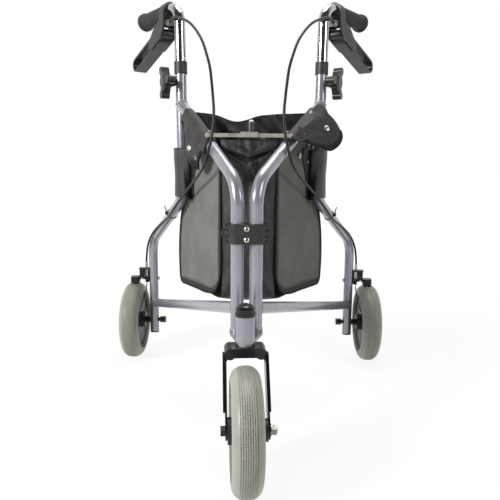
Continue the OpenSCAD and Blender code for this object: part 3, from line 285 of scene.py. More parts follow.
# The inner wires come out of the barrels: six steel strands laid round each other,
# clamped in the end of each brake arm.
wire_steel, spot = finish("wire_steel")
grime = spot.speckle(900.0, 2.0)
close(spot, {
    "Base Color": grime.rise(0.35, 0.7).mix(tone(168, 166, 160), tone(120, 117, 110)),
    "Metallic": 1.0,
    "Roughness": 0.25 + grime * 0.2,
})
wire_x = 0.26455
wire_y = 0.292502
wire_foot = 0.1866
wire_turns = 4
bpy.ops.object.select_all(action="DESELECT")
bpy.ops.mesh.primitive_circle_add(vertices=12, radius=0.0009, location=(wire_x, wire_y, wire_foot))
left_wire = bpy.context.object
left_wire.name = "left_inner_wire"
bpy.ops.object.transform_apply(location=False, rotation=True, scale=True)
groove_share = 0.78
for vertex in left_wire.data.vertices:
    if vertex.index % 2:
        vertex.co *= groove_share
lay = left_wire.modifiers.new("lay", "SCREW")
lay.angle = math.tau * wire_turns
lay.screw_offset = 0.0583
lay.steps = 96
lay.render_steps = 96
bpy.ops.object.modifier_apply(modifier="lay")
bpy.ops.object.transform_apply(location=True, rotation=True, scale=True)
bpy.ops.object.mode_set(mode="EDIT")
bpy.ops.mesh.select_all(action="SELECT")
bpy.ops.mesh.normals_make_consistent(inside=False)
bpy.ops.object.mode_set(mode="OBJECT")
bpy.ops.object.shade_smooth()
right_wire = twin(left_wire, "right_inner_wire")
for side, piece in (("left", left_wire), ("right", right_wire)):
    dress(piece, wire_steel)
    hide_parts(side + "_brake_cable")
    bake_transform(piece)


# Side frames, head tube and hinge plate: bent and coped steel tube, welded and then
# sprayed in a lilac metallic lacquer.
def paint(material, *names):
    """Gives solids of the frame their material."""
    for name in names:
        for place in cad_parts[name].material_slots:
            place.material = material


def both(*names):
    """The names of both sides' solids."""
    return [side + name for side in ("left_", "right_") for name in names]


lilac_lacquer, spot = finish("lilac_lacquer")
flake = spot.speckle(2600.0, 1.0)
cloud = spot.speckle(14.0, 3.0)
peel = spot.speckle(420.0, 1.0)
ground_coat = cloud.rise(0.35, 0.7).mix(tone(143, 140, 150), tone(152, 149, 158))
close(spot, {
    "Base Color": flake.rise(0.55, 0.72).mix(ground_coat, tone(190, 187, 197)),
    "Metallic": 0.5,
    "Roughness": 0.24 + flake * 0.1,
    "Coat Weight": 0.5,
    "Coat Roughness": 0.08,
    "Normal": peel.relief(0.04, 0.0004),
})
paint(lilac_lacquer, "head_tube", "hinge_plate", *both("front_tube", "rear_leg", "lower_rail"))


# Weld beads round the coped ends of the rails: small ripples of steel, laid by hand
# and sprayed over with the same lacquer.
post_x = 0.0156
post_y = -0.164502
splay = math.radians(26.8)
tube_r = 0.0111
low_rail_r = 0.0105


def side_point(t, out, z, side=1):
    """A point of a side frame: reach behind the post, distance outward, and height."""
    x = post_x + math.sin(splay) * t + math.cos(splay) * out
    return Vector((side * x, post_y + math.cos(splay) * t - math.sin(splay) * out, z))


def rail_z(t):
    """Height of the upper rail's middle at a reach behind the post."""
    return 0.458 + t * math.tan(math.radians(28.4))


def leg_t(z):
    """Reach of the upper leg's middle behind the post at a height."""
    return 0.279 + (z - 0.6) * math.tan(math.radians(2))


def weld_bead(name, start, end, radius, core, along):
    """A bead where a round bar from start toward end meets the tube round a core."""
    way = (end - start).normalized()
    first = way.orthogonal().normalized()
    second = way.cross(first)
    along = along.normalized()
    ripples = 44
    points = []
    for i in range(ripples):
        turn = i * math.tau / ripples
        rim = start + radius * (math.cos(turn) * first + math.sin(turn) * second)
        off = rim - core
        off = off - off.dot(along) * along
        run = way - way.dot(along) * along
        half = off.dot(run)
        depth = half * half - run.dot(run) * (off.dot(off) - tube_r * tube_r)
        step = (-half + math.sqrt(max(depth, 0.0))) / run.dot(run)
        points.append(rim + step * way)
    return strand(name, points, 0.0017, closed=True, swell=lambda i: 1.0 if i % 2 else 1.22)


upright = Vector((0.0, 0.0, 1.0))
leg_low = side_point(leg_t(0.6), 0, 0.6)
leg_high = side_point(leg_t(0.7), 0, 0.7)
rail_t = leg_t(0.605)
rail_end = side_point(rail_t, 0, rail_z(rail_t))
rail_start = side_point(0.1, 0, rail_z(0.1))
low_front = side_point(0, 0, 0.25)
low_back = side_point(0.512, 0, 0.139)
beads = [
    weld_bead("left_rail_weld", rail_end, rail_start, tube_r, leg_low, leg_high - leg_low),
    weld_bead("left_low_front_weld", low_front, low_back, low_rail_r, low_front, upright),
    weld_bead("left_low_back_weld", low_back, low_front, low_rail_r, low_back, upright),
]
for bead in beads:
    other = twin(bead, bead.name.replace("left", "right"))
    for side, piece in (("left", bead), ("right", other)):
        dress(piece, lilac_lacquer)
        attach(piece, side + "_frame")

# Post clamp, leg plugs, knobs, brake housings and levers: moulded black plastic with
# a fine grain, rubbed paler where hands and tubes touch it.
moulded_black, spot = finish("moulded_black")
grain = spot.speckle(1500.0, 2.0)
rub = spot.speckle(60.0, 4.0)
close(spot, {
    "Base Color": rub.rise(0.45, 0.8).mix(tone(38, 37, 36), tone(52, 51, 49)),
    "Roughness": 0.3 + rub * 0.14,
    "Specular IOR Level": 0.45,
    "Normal": grain.relief(0.15, 0.0002),
})
paint(moulded_black, "clamp_front", "clamp_rear")
paint(moulded_black, *both("leg_plug", "height_knob", "brake_housing", "brake_lever"))

# Head cap: a black plastic dome, polished in its mould and pressed into the head tube,
# with faint swirls from wiping.
polished_black, spot = finish("polished_black")
swirl = spot.speckle(220.0, 3.0)
close(spot, {
    "Base Color": swirl.rise(0.5, 0.8).mix(tone(20, 20, 21), tone(30, 30, 31)),
    "Roughness": 0.08 + swirl * 0.06,
    "Specular IOR Level": 0.25,
    "Coat Weight": 0.3,
})
paint(polished_black, "head_cap")

# Height collars: brownish black nylon, pushed over the upper ends of the legs. Their
# grain is coarser than that of the other mouldings.
collar_brown, spot = finish("collar_brown")
grain = spot.speckle(700.0, 3.0)
close(spot, {
    "Base Color": grain.rise(0.4, 0.7).mix(tone(38, 33, 33), tone(52, 47, 46)),
    "Roughness": 0.42 + grain * 0.15,
})
paint(collar_brown, *both("height_collar"))

# Bushes and head bearings: natural white nylon rings, turned to a light press fit in
# the posts and the head tube.
bush_white, spot = finish("bush_white")
grain = spot.speckle(300.0, 2.0)
close(spot, {
    "Base Color": grain.rise(0.3, 0.7).mix(tone(214, 213, 204), tone(200, 198, 188)),
    "Roughness": 0.45 + grain * 0.1,
})
paint(bush_white, "head_bearings", *both("post_bushes"))

# Hinge pins, cable fittings and adjusters: turned steel, plated with bright zinc that
# has clouded a little.
zinc_plate, spot = finish("zinc_plate")
cloud = spot.speckle(130.0, 4.0)
fine = spot.speckle(1400.0, 1.0)
close(spot, {
    "Base Color": cloud.rise(0.35, 0.7).mix(tone(196, 193, 186), tone(168, 164, 154)),
    "Metallic": 1.0,
    "Roughness": 0.24 + cloud * 0.18,
    "Normal": fine.relief(0.05, 0.0002),
})
paint(zinc_plate, "hinge_pins", *both("cable_fittings", "cable_adjuster"))

# Brace links: flat steel bar with rounded ends, pressed, drilled for the pins and
# plated with a pale matt zinc.
pale_zinc, spot = finish("pale_zinc")
cloud = spot.speckle(90.0, 4.0)
close(spot, {
    "Base Color": cloud.rise(0.3, 0.7).mix(tone(186, 181, 172), tone(164, 159, 150)),
    "Metallic": 0.45,
    "Roughness": 0.32 + cloud * 0.14,
})
paint(pale_zinc, *both("brace_link"))

# Brace brackets: folded steel that turns on the studs of the upper rails, left dull
# and dark from its hardening.
dull_steel, spot = finish("dull_steel")
cloud = spot.speckle(120.0, 4.0)
close(spot, {
    "Base Color": cloud.rise(0.3, 0.7).mix(tone(78, 75, 72), tone(104, 100, 96)),
    "Metallic": 0.8,
    "Roughness": 0.4 + cloud * 0.15,
})
paint(dull_steel, *both("brace_bracket"))

# Clamp screws: domed heads in zinc plate, which draw both halves of the post clamp
# together. Each has a dark spot painted at its middle as the shade of a hexagon socket.
screw_zinc, spot = finish("screw_zinc")
cloud = spot.speckle(160.0, 3.0)
heights = [corner[2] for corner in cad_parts["clamp_screws"].bound_box]
head_d = 0.009
screw_mid = (min(heights) + max(heights)) / 2
screw_half = (max(heights) - min(heights) - head_d) / 2
# socket: a painted shade spot at the middle of each head. It is darker, less metallic and rougher, and
# stands for a hexagon socket that the mesh lacks.
up = abs(abs(spot.part(2) - screw_mid) - screw_half)
socket = 1 - up.reach(spot.part(0)).rise(0.0015, 0.0022)
plating = cloud.rise(0.35, 0.7).mix(tone(204, 201, 195), tone(176, 172, 164))
close(spot, {
    "Base Color": socket.mix(plating, tone(40, 38, 36)),
    "Metallic": 1 - socket * 0.6,
    "Roughness": 0.2 + cloud * 0.15 + socket * 0.3,
})
paint(screw_zinc, "clamp_screws")

# Brace screws: domed heads on the pins at the outer ends of both links, each with a
# shallow round recess, in which a dark spot is painted as the shade of a hexagon socket.
brace_screw, spot = finish("brace_screw")
cloud = spot.speckle(200.0, 3.0)
brace_x = 0.0745
brace_z = 0.54
away = (abs(spot.part(0)) - brace_x).reach(spot.part(2) - brace_z)
# socket: the painted shade spot at the middle of each head, darker and less metallic, standing for the
# shade in a hexagon socket.
socket = 1 - away.rise(0.0014, 0.0022)
plating = cloud.rise(0.3, 0.7).mix(tone(206, 202, 194), tone(184, 179, 170))
close(spot, {
    "Base Color": socket.mix(plating, tone(46, 44, 42)),
    "Metallic": 0.5 - socket * 0.3,
    "Roughness": 0.26 + cloud * 0.12,
})


def pick(piece, wanted):
    """Selects the faces that are wanted and leaves the piece open for editing."""
    bpy.ops.object.mode_set(mode="EDIT")
    bpy.ops.mesh.select_all(action="DESELECT")
    bpy.ops.object.mode_set(mode="OBJECT")
    for face in piece.data.polygons:
        face.select = wanted(face)
    bpy.ops.object.mode_set(mode="EDIT")


for side, way in (("left", 1), ("right", -1)):
    bpy.ops.object.select_all(action="DESELECT")
    bpy.ops.mesh.primitive_cylinder_add(
        vertices=40, radius=0.0042, depth=0.0026,
        location=(way * brace_x, -0.0672, brace_z), rotation=(math.radians(90), 0, 0),
    )
    head = bpy.context.object
    head.name = side + "_brace_screw"
    bpy.ops.object.transform_apply(location=True, rotation=True, scale=True)
    pick(head, lambda face: face.normal.y < -0.9)
    bpy.ops.mesh.bevel(offset=0.0011, segments=4, affect="EDGES")
    pick(head, lambda face: face.normal.y < -0.99 and face.area > 0.00001)
    bpy.ops.mesh.inset(thickness=0.0012, depth=0)
    bpy.ops.mesh.inset(thickness=0.0002, depth=-0.001)
    bpy.ops.object.mode_set(mode="OBJECT")
    bpy.ops.object.shade_smooth_by_angle(angle=math.radians(35))
    dress(head, brace_screw)
    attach(head, side + "_link")

# Brace knob: a turned steel button, blackened, that is pulled up to fold the brace.
# Its dome is painted near white as a highlight, and made smoother.
button_steel, spot = finish("button_steel")
cloud = spot.speckle(300.0, 3.0)
top = max(corner[2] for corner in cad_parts["brace_knob"].bound_box)
# Painted highlight: the top of the dome is coloured near white instead of the blackened steel.
painted_dome_highlight = spot.part(2).rise(top - 0.0046, top - 0.0038)
blackening = cloud.rise(0.3, 0.7).mix(tone(76, 74, 72), tone(94, 91, 88))
close(spot, {
    "Base Color": painted_dome_highlight.mix(blackening, tone(220, 218, 214)),
    "Metallic": 0.75,
    "Roughness": 0.26 + cloud * 0.12 - painted_dome_highlight * 0.14,
})
paint(button_steel, "brace_knob")

# Fork and rear axles: pressed and turned steel in gloss black stove enamel, with the
# fork's edges folded to ribs.
stove_black, spot = finish("stove_black")
peel = spot.speckle(260.0, 2.0)
dust = spot.speckle(45.0, 5.0)
close(spot, {
    "Base Color": dust.rise(0.5, 0.8).mix(tone(20, 20, 21), tone(36, 35, 34)),
    "Roughness": 0.2 + dust * 0.16,
    "Specular IOR Level": 0.25,
    "Coat Weight": 0.25,
    "Normal": peel.relief(0.06, 0.0004),
})
paint(stove_black, "fork", *both("rear_axle"))

# Brakes: brackets and arms of pressed steel, enamelled black, with the pivot's head and
# the bolt's end left bright.
brake_steel, spot = finish("brake_steel")
dust = spot.speckle(90.0, 5.0)
across = abs(spot.part(0))
pivot_x = 0.27455
pivot_z = 0.2035
pivot = 1 - (across - pivot_x).reach(spot.part(2) - pivot_z).rise(0.0027, 0.0031)
bright = spot.calc("MAXIMUM", pivot, 1 - across.rise(0.2350, 0.2353))
enamel = dust.rise(0.5, 0.8).mix(tone(22, 22, 23), tone(44, 42, 40))
close(spot, {
    "Base Color": bright.mix(enamel, tone(178, 174, 166)),
    "Metallic": bright * 0.7,
    "Roughness": 0.26 + dust * 0.16,
    "Specular IOR Level": 0.3,
})
paint(brake_steel, *both("brake_bracket", "brake_arm"))


# Tyres: foamed grey rubber, moulded with grooves round the tread, stretched over the
# rims and worn in streaks.
def wheel_spot(spot, centre, turn):
    """Place on a wheel: X along its axle, Y and Z across it, measured from its middle."""
    return spot.node("Mapping", {"vector_type": "TEXTURE"}, {
        "Vector": spot, "Location": centre, "Rotation": (0.0, 0.0, turn),
    })


def tyre_rubber(name, centre, turn):
    """The rubber of one wheel, streaked round its own axle."""
    material, spot = finish(name)
    spot = wheel_spot(spot, centre, turn)
    reach = spot.part(1).reach(spot.part(2))
    mottle = spot.speckle(40.0, 4.0)
    streak = spot.node("TexNoise", {"noise_dimensions": "1D"}, {
        "W": spot.part(0), "Scale": 380.0, "Detail": 2.0,
    })
    tread = reach.rise(0.080, 0.092)
    base = mottle.rise(0.3, 0.75).mix(tone(156, 155, 144), tone(165, 163, 153))
    close(spot, {
        "Base Color": (tread * streak.rise(0.4, 0.75) * 0.6).mix(base, tone(132, 132, 120)),
        "Roughness": 0.42 - tread * 0.06 + mottle * 0.08,
        "Specular IOR Level": 0.4,
        "Normal": (streak * tread).relief(0.25, 0.0005),
    })
    return material


tyre_r = 0.09525
wheels = {
    "front": ((0.0032, -0.292493, tyre_r), math.radians(5)),
    "left": ((0.29605, 0.292502, tyre_r), 0.0),
    "right": ((-0.29605, 0.292502, tyre_r), 0.0),
}
for side, (centre, turn) in wheels.items():
    paint(tyre_rubber(side + "_tyre_rubber", centre, turn), side + "_tyre")


# Rims: each one moulding of grey nylon with curved slots in its web, round a black hub
# that turns on the axle.
def rim_nylon(name, centre, turn):
    """The nylon of one wheel, black near its own axle."""
    material, spot = finish(name)
    spot = wheel_spot(spot, centre, turn)
    reach = spot.part(1).reach(spot.part(2))
    grain = spot.speckle(1300.0, 2.0)
    dust = spot.speckle(50.0, 4.0)
    web = dust.rise(0.35, 0.75).mix(tone(92, 92, 90), tone(108, 107, 103))
    close(spot, {
        "Base Color": reach.rise(0.0195, 0.0215).mix(tone(30, 30, 31), web),
        "Roughness": 0.42 + dust * 0.15,
        "Normal": grain.relief(0.15, 0.0002),
    })
    return material


for side, (centre, turn) in wheels.items():
    paint(rim_nylon(side + "_rim_nylon", centre, turn), side + "_rim")

# Front axle: a blackened bolt and spacer through the fork, with a zinc washer and nut
# on the left end.
axle_steel, spot = finish("axle_steel")
spot = wheel_spot(spot, *wheels["front"])
cloud = spot.speckle(240.0, 3.0)
bright = spot.part(0).rise(0.0364, 0.0366)
plating = cloud.rise(0.35, 0.7).mix(tone(150, 147, 140), tone(110, 107, 100))
close(spot, {
    "Base Color": bright.mix(tone(34, 33, 33), plating),
    "Metallic": bright,
    "Roughness": 0.42 - bright * 0.16 + cloud * 0.1,
})
paint(axle_steel, "front_axle")

# Return springs: round steel wire, coiled round the inner wires and pressed between
# bracket and brake arm.
coils = 7
steps = 14
coil_r = 0.00355
spring_low = 0.2072
spring_high = 0.2264
curl = []
for i in range(coils * steps + 1):
    angle = i * math.tau / steps
    z = spring_low + (spring_high - spring_low) * i / (coils * steps)
    curl.append((wire_x + coil_r * math.cos(angle), wire_y + coil_r * math.sin(angle), z))
left_spring = strand("left_return_spring", curl, 0.00065)
right_spring = twin(left_spring, "right_return_spring")
for side, piece in (("left", left_spring), ("right", right_spring)):
    dress(piece, zinc_plate)
    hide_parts(side + "_brake_spring")
    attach(piece, side + "_frame")
    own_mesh(piece)

# Handle tubes: steel tube bent to the rear and chromium plated, with a slight haze.
# Each slides in its leg under the collar.
chrome_plate, spot = finish("chrome_plate")
haze = spot.speckle(40.0, 4.0)
close(spot, {
    "Base Color": haze.rise(0.3, 0.8).mix(tone(196, 194, 192), tone(180, 177, 174)),
    "Metallic": 1.0,
    "Roughness": 0.1 + haze.rise(0.45, 0.8) * 0.05,
})
paint(chrome_plate, *both("handle_tube"))

# Grips: soft black rubber sleeves pushed on the tubes, ribbed for the fingers and
# flared to a flange at the end.
grip_rubber, spot = finish("grip_rubber")
grain = spot.speckle(1200.0, 2.0)
bloom = spot.speckle(55.0, 4.0)
bend_x = 0.14457
bend_y = 0.09082
grip_way = (0.585, 0.811)
along = (abs(spot.part(0)) - bend_x) * grip_way[0] + (spot.part(1) - bend_y) * grip_way[1]
ribbed = along.rise(0.066, 0.068) * (1 - along.rise(0.146, 0.148))
rib = spot.calc("PINGPONG", along, 0.0035).rise(0.0006, 0.0024) * ribbed
close(spot, {
    "Base Color": bloom.rise(0.4, 0.75).mix(tone(46, 45, 45), tone(62, 60, 59)),
    "Roughness": 0.55 + bloom * 0.15,
    "Specular IOR Level": 0.25,
    "Normal": (grain * 0.15 + rib).relief(0.8, 0.0012),
})
paint(grip_rubber, *both("grip"))


# Bag, middle: front, bottom and back in one piece of black nylon, sewn to the side
# panels. It hangs between them and sags, with soft folds at the front.
def through(keys, share):
    """A smooth line through evenly spaced keys, read at a share of its run from 0 to 1."""
    at = min(max(share, 0.0), 1.0) * (len(keys) - 1)
    i = min(int(at), len(keys) - 2)
    f = at - i
    before = keys[max(i - 1, 0)]
    after = keys[min(i + 2, len(keys) - 1)]
    out = []
    for p0, p1, p2, p3 in zip(before, keys[i], keys[i + 1], after):
        second = 2 * p0 - 5 * p1 + 4 * p2 - p3
        third = 3 * (p1 - p2) + p3 - p0
        out.append(p1 + 0.5 * f * (p2 - p0 + f * (second + f * third)))
    return out


def cloth(name, columns, rows, place, thick, seam=False):
    """A sewn sheet: a grid laid out by place(u, v), given its thickness, with its own UV map."""
    bpy.ops.object.select_all(action="DESELECT")
    bpy.ops.mesh.primitive_grid_add(x_subdivisions=columns, y_subdivisions=rows, size=1)
    sheet = bpy.context.object
    sheet.name = name
    for vertex in sheet.data.vertices:
        vertex.co = place(vertex.co.x + 0.5, vertex.co.y + 0.5)
    bpy.ops.object.mode_set(mode="EDIT")
    bpy.ops.mesh.select_all(action="SELECT")
    if seam:
        bpy.ops.mesh.remove_doubles(threshold=0.00002)
    bpy.ops.mesh.normals_make_consistent(inside=False)
    bpy.ops.object.mode_set(mode="OBJECT")
    area = sum(face.area for face in sheet.data.polygons)
    wall = sheet.modifiers.new("wall", "SOLIDIFY")
    wall.thickness = thick
    wall.offset = 0.0
    bpy.ops.object.modifier_apply(modifier="wall")
    bpy.ops.object.shade_smooth()
    return sheet, area


def ripple(u, v, seed):
    """Soft unevenness of a cloth, the same at each run."""
    return noise.noise(Vector((u, v, seed)))


# Black nylon cloth of the middle, the sleeves and the tabs: a close weave, a little
# shiny, with creases from use.
nylon_black, spot = finish("nylon_black")
crease = spot.speckle(26.0, 5.0, 0.6)
warp = spot.waves("X", 420.0)
weft = spot.waves("Z", 420.0)
weave = warp * weft + crease * 2.5
close(spot, {
    "Base Color": crease.rise(0.35, 0.75).mix(tone(34, 32, 31), tone(46, 43, 42)),
    "Roughness": 0.32 + crease * 0.14,
    "Specular IOR Level": 0.42,
    "Normal": weave.relief(0.3, 0.0008),
})

# Black binding tape of the rims, the piping and the flaps' edges: matt and
# napped, folded over the cloth and sewn on. The tuck's dark cord, partly painted shade along the crease,
# has it too.
binding_black, spot = finish("binding_black")
nap = spot.speckle(900.0, 3.0)
close(spot, {
    "Base Color": nap.rise(0.35, 0.7).mix(tone(18, 17, 17), tone(30, 28, 28)),
    "Roughness": 0.6 + nap * 0.2,
    "Specular IOR Level": 0.2,
    "Normal": nap.relief(0.3, 0.0003),
})

# Rows of the shell from the front rim down, under and up the back: y at the middle,
# y at the edges, height and half width.
shell_rows = [
    (-0.061, -0.058, 0.532, 0.051), (-0.066, -0.061, 0.504, 0.050), (-0.072, -0.062, 0.465, 0.049),
    (-0.077, -0.062, 0.415, 0.048), (-0.078, -0.062, 0.350, 0.048), (-0.078, -0.061, 0.285, 0.048),
    (-0.073, -0.058, 0.250, 0.049), (-0.052, -0.048, 0.239, 0.055), (0.000, 0.000, 0.238, 0.080),
    (0.060, 0.058, 0.238, 0.110), (0.108, 0.104, 0.240, 0.133), (0.127, 0.122, 0.260, 0.142),
    (0.131, 0.126, 0.340, 0.144), (0.128, 0.124, 0.420, 0.142), (0.112, 0.110, 0.480, 0.134),
    (0.098, 0.096, 0.530, 0.130), (0.093, 0.090, 0.588, 0.134),
]
# Creases pulled into the front and the back: both ends, across and up, and how far
# each one stands out.
front_creases = [
    ((0.000, 0.490), (-0.034, 0.395), 0.009), ((0.004, 0.488), (0.036, 0.400), 0.010),
    ((-0.040, 0.505), (-0.004, 0.484), 0.006), ((0.040, 0.505), (0.006, 0.484), 0.006),
    ((0.018, 0.400), (0.044, 0.290), 0.010), ((0.012, 0.310), (0.046, 0.252), 0.010),
    ((-0.016, 0.310), (-0.044, 0.256), 0.008), ((-0.028, 0.390), (-0.042, 0.310), 0.007),
]
back_creases = [
    ((-0.120, 0.600), (-0.052, 0.525), 0.011), ((-0.085, 0.600), (-0.010, 0.545), 0.008),
    ((-0.040, 0.560), (0.010, 0.505), 0.008), ((0.014, 0.592), (0.050, 0.545), 0.009),
    ((0.055, 0.598), (0.095, 0.535), 0.009), ((0.030, 0.540), (0.070, 0.505), 0.007),
]


def pulled(x, z, creases):
    """How far the cloth stands out at a point, from the creases that pass near it."""
    crease_w = 0.007
    out = 0.0
    here = Vector((x, z))
    for start, end, height in creases:
        start = Vector(start)
        run = Vector(end) - start
        share = min(max((here - start).dot(run) / run.dot(run), 0.0), 1.0)
        off = (here - start - share * run).length
        out += height * math.exp(-(off / crease_w) ** 2) * (1 - 0.5 * share)
    return out


def tuck_z(x):
    """Height of the tuck across the front, which sags to the middle."""
    return 0.496 + 0.4 * abs(x)


def shell_place(u, v):
    """A point of the middle: u across from right to left, v from front rim to back rim."""
    middle, edge, z, half = through(shell_rows, v)
    across = 2 * u - 1
    swell = 1 - abs(across) ** 3
    y = edge + (middle - edge) * swell
    x = across * half
    front = max(0.0, 1 - v / 0.34)
    back = max(0.0, (v - 0.66) / 0.34)
    under = max(0.0, 1 - abs(v - 0.5) / 0.14)
    z -= 0.005 * under * (1 - across * across)
    fold = ripple(u * 5 + v * 3, v * 6, 1.7) + 0.5 * ripple(u * 11 - v * 7, v * 9, 4.1)
    y += 0.003 * fold * swell * (min(front * 3, 1.0) + min(back * 3, 1.0))
    y -= swell * pulled(x, z, front_creases if v < 0.5 else back_creases)
    if v < 0.3:
        over = z - tuck_z(x)
        groove = 0.008 * math.exp(-(over / 0.0026) ** 2)
        roll = 0.006 * math.exp(-((over - 0.009) / 0.006) ** 2)
        y += swell * (groove - roll)
    hem = 0.93
    if v > hem:
        sag = 0.014 * math.exp(-((x + 0.03) / 0.035) ** 2) - 0.006 * abs(across)
        z -= (v - hem) / (1 - hem) * sag
    return (x, y, z)


def gather(piece):
    """Hangs a piece of the bag's middle on the head, with a mesh of its own."""
    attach(piece, "head")
    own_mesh(piece)


bag_shell, area = cloth("bag_shell", 80, 240, shell_place, 0.0016)
dress(bag_shell, nylon_black)
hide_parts("bag_middle")
gather(bag_shell)

# Rims of the bag's front and back: the nylon is turned over twice, bound with tape and
# sewn through.
shares = [i / 24 for i in range(25)]
for name, v in (("front", 0.0), ("back", 1.0)):
    rim = strand("bag_%s_rim" % name, [shell_place(u, v) for u in shares], 0.0013)
    dress(rim, binding_black)
    gather(rim)

# Tuck across the front: the cloth is folded there, and a dark matt cord lies along the fold
# and sags to the middle. The cord is partly a seam and partly painted shade along the
# crease. Each point is found by halving along the shell.
tuck_line = []
for i in range(17):
    u = 0.08 + 0.84 * i / 16
    high, low = 0.0, 0.2
    for _ in range(20):
        v = (high + low) / 2
        x, y, z = shell_place(u, v)
        if z > tuck_z(x):
            high = v
        else:
            low = v
    tuck_line.append((x, y, z))
# A dark cord along the crease: partly a seam, partly painted shade.
tuck = strand("bag_front_tuck", tuck_line, 0.0011)
dress(tuck, binding_black)
gather(tuck)

# Bag, sides: panels of coarse grey nylon with a dark bound hem, hung from the upper
# rails by the flaps.
canvas_grey, spot = finish("canvas_grey")
layout = spot.node("TexCoord", out="UV")
u_way = layout.part(0)
v_way = layout.part(1)
slub = spot.speckle(180.0, 3.0)
soil = spot.speckle(18.0, 4.0)
warp = spot.waves("Y", 380.0)
weft = spot.waves("Z", 380.0)
edge = spot.calc("MINIMUM", spot.calc("MINIMUM", u_way, 1 - u_way) * 0.8, v_way)
band = 1 - edge.rise(0.036, 0.04)
stitch = (1 - abs(edge - 0.045).rise(0.002, 0.004)) * 0.6
field = soil.rise(0.35, 0.75).mix(tone(108, 107, 103), tone(120, 118, 113))
field = slub.rise(0.5, 0.8).mix(field, tone(128, 126, 122))
hemmed = spot.calc("MAXIMUM", band, stitch).mix(field, tone(50, 49, 48))
close(spot, {
    "Base Color": hemmed,
    "Roughness": 0.72 - band * 0.15 + slub * 0.1,
    "Specular IOR Level": 0.2,
    "Normal": (warp * weft + soil * 1.5 + band * 2.0 - stitch).relief(0.3, 0.0007),
})
panel_head = [(0.108, 0.512), (0.150, 0.534), (0.200, 0.561), (0.236, 0.580), (0.268, 0.520)]


def panel_place(u, v):
    """A point of the left panel: u from front to back, v from the foot up."""
    front, back = 0.106, 0.342
    foot = front + (back - front) * u
    head, top = through(panel_head, u)
    corner = 0.060 if u < 0.5 else 0.020
    gap = min(foot - front, back - foot)
    low = 0.242 - 0.015 * u
    if gap < corner:
        low += corner - math.sqrt(corner * corner - (corner - gap) ** 2)
    t = foot + (head - foot) * v ** 1.5 + 0.014 * u * math.sin(math.pi * min(v * 1.3, 1.0))
    z = low + (top - low) * v
    belly = math.sin(math.pi * u) * math.sin(math.pi * v)
    out = -0.0148 + 0.0012 * belly + 0.0016 * belly * ripple(u * 3, v * 5, 8.3)
    return side_point(t, out, z)


left_panel, area = cloth("left_bag_panel", 60, 80, panel_place, 0.0016)
right_panel = twin(left_panel, "right_bag_panel")
for side, piece in (("left", left_panel), ("right", right_panel)):
    dress(piece, canvas_grey)
    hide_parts(side + "_bag_side")
    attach(piece, side + "_frame")

# Piping: a thin cord in black binding tape, sewn round the free edge of each side
# panel.
down = (0.98, 0.8, 0.6, 0.4, 0.25, 0.15, 0.08, 0.03)
under = (0.005, 0.02, 0.05, 0.09, 0.13, 0.3, 0.5, 0.7, 0.87, 0.91, 0.95, 0.98, 0.995)
piping = [panel_place(0, v) for v in down]
piping += [panel_place(u, 0) for u in under]
piping += [panel_place(1, v) for v in reversed(down)]
left_piping = strand("left_bag_piping", piping, 0.0021)
right_piping = twin(left_piping, "right_bag_piping")
for side, piece, panel in (("left", left_piping, left_panel), ("right", right_piping, right_panel)):
    dress(piece, binding_black)
    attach(piece, side + "_frame")


# Leg sleeves: loops of black nylon sewn round the upper legs, which carry the back of
# the bag.
def sleeve_place(u, v):
    """A point of the left sleeve: u round the leg, v up along it."""
    z = 0.419 + 0.100 * v
    turn = math.tau * u
    wide = 0.030 + 0.003 * math.sin(3 * turn + 4 * v)
    t = leg_t(z) + wide * math.cos(turn)
    out = 0.0005 + 0.0142 * math.sin(turn) * (1 + 0.06 * ripple(u * 6, v * 3, 2.2))
    return side_point(t, out, z + 0.003 * math.sin(turn))


left_sleeve, area = cloth("left_bag_sleeve", 64, 20, sleeve_place, 0.0016, seam=True)
right_sleeve = twin(left_sleeve, "right_bag_sleeve")
for side, piece in (("left", left_sleeve), ("right", right_sleeve)):
    dress(piece, nylon_black)
    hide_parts(side + "_bag_side")
    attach(piece, side + "_frame")


# Sleeve tabs: the doubled black nylon between each sleeve and its panel, sewn to the
# sleeve and riveted through.
def tab_place(u, v):
    """A point of the left tab: u from the panel to the sleeve, v up."""
    z = 0.422 + 0.098 * v
    edge = 0.242 - 0.020 * v + 0.004 * math.sin(5 * v)
    t = edge + (0.268 - edge) * u
    return side_point(t, -0.0110 + 0.0075 * u + 0.0025 * ripple(u * 2, v * 4, 5.5), z)


left_tab, area = cloth("left_sleeve_tab", 14, 34, tab_place, 0.0018)
right_tab = twin(left_tab, "right_sleeve_tab")
for side, piece in (("left", left_tab), ("right", right_tab)):
    dress(piece, nylon_black)
    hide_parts(side + "_bag_side")
    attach(piece, side + "_frame")

# Rail flaps: tongues of black nylon over the upper rails, buttoned to the panels. The
# right one hangs down outside its rail, the left one stands off like a wing.
satin, spot = finish("nylon_satin")
layout = spot.node("TexCoord", out="UV")
crease = spot.speckle(34.0, 5.0, 0.6)
warp = spot.waves("X", 420.0)
weft = spot.waves("Z", 420.0)
side_hem = abs(layout.part(0) - 0.5).rise(0.455, 0.46)
hem = spot.calc("MAXIMUM", layout.part(1).rise(0.925, 0.935), side_hem)
sheen = crease.rise(0.35, 0.75).mix(tone(50, 47, 46), tone(64, 61, 60))
close(spot, {
    "Base Color": hem.mix(sheen, tone(16, 15, 15)),
    "Roughness": 0.46 + crease * 0.12,
    "Specular IOR Level": 0.28,
    "Normal": (warp * weft + crease * 2.5 + hem).relief(0.3, 0.0008),
})
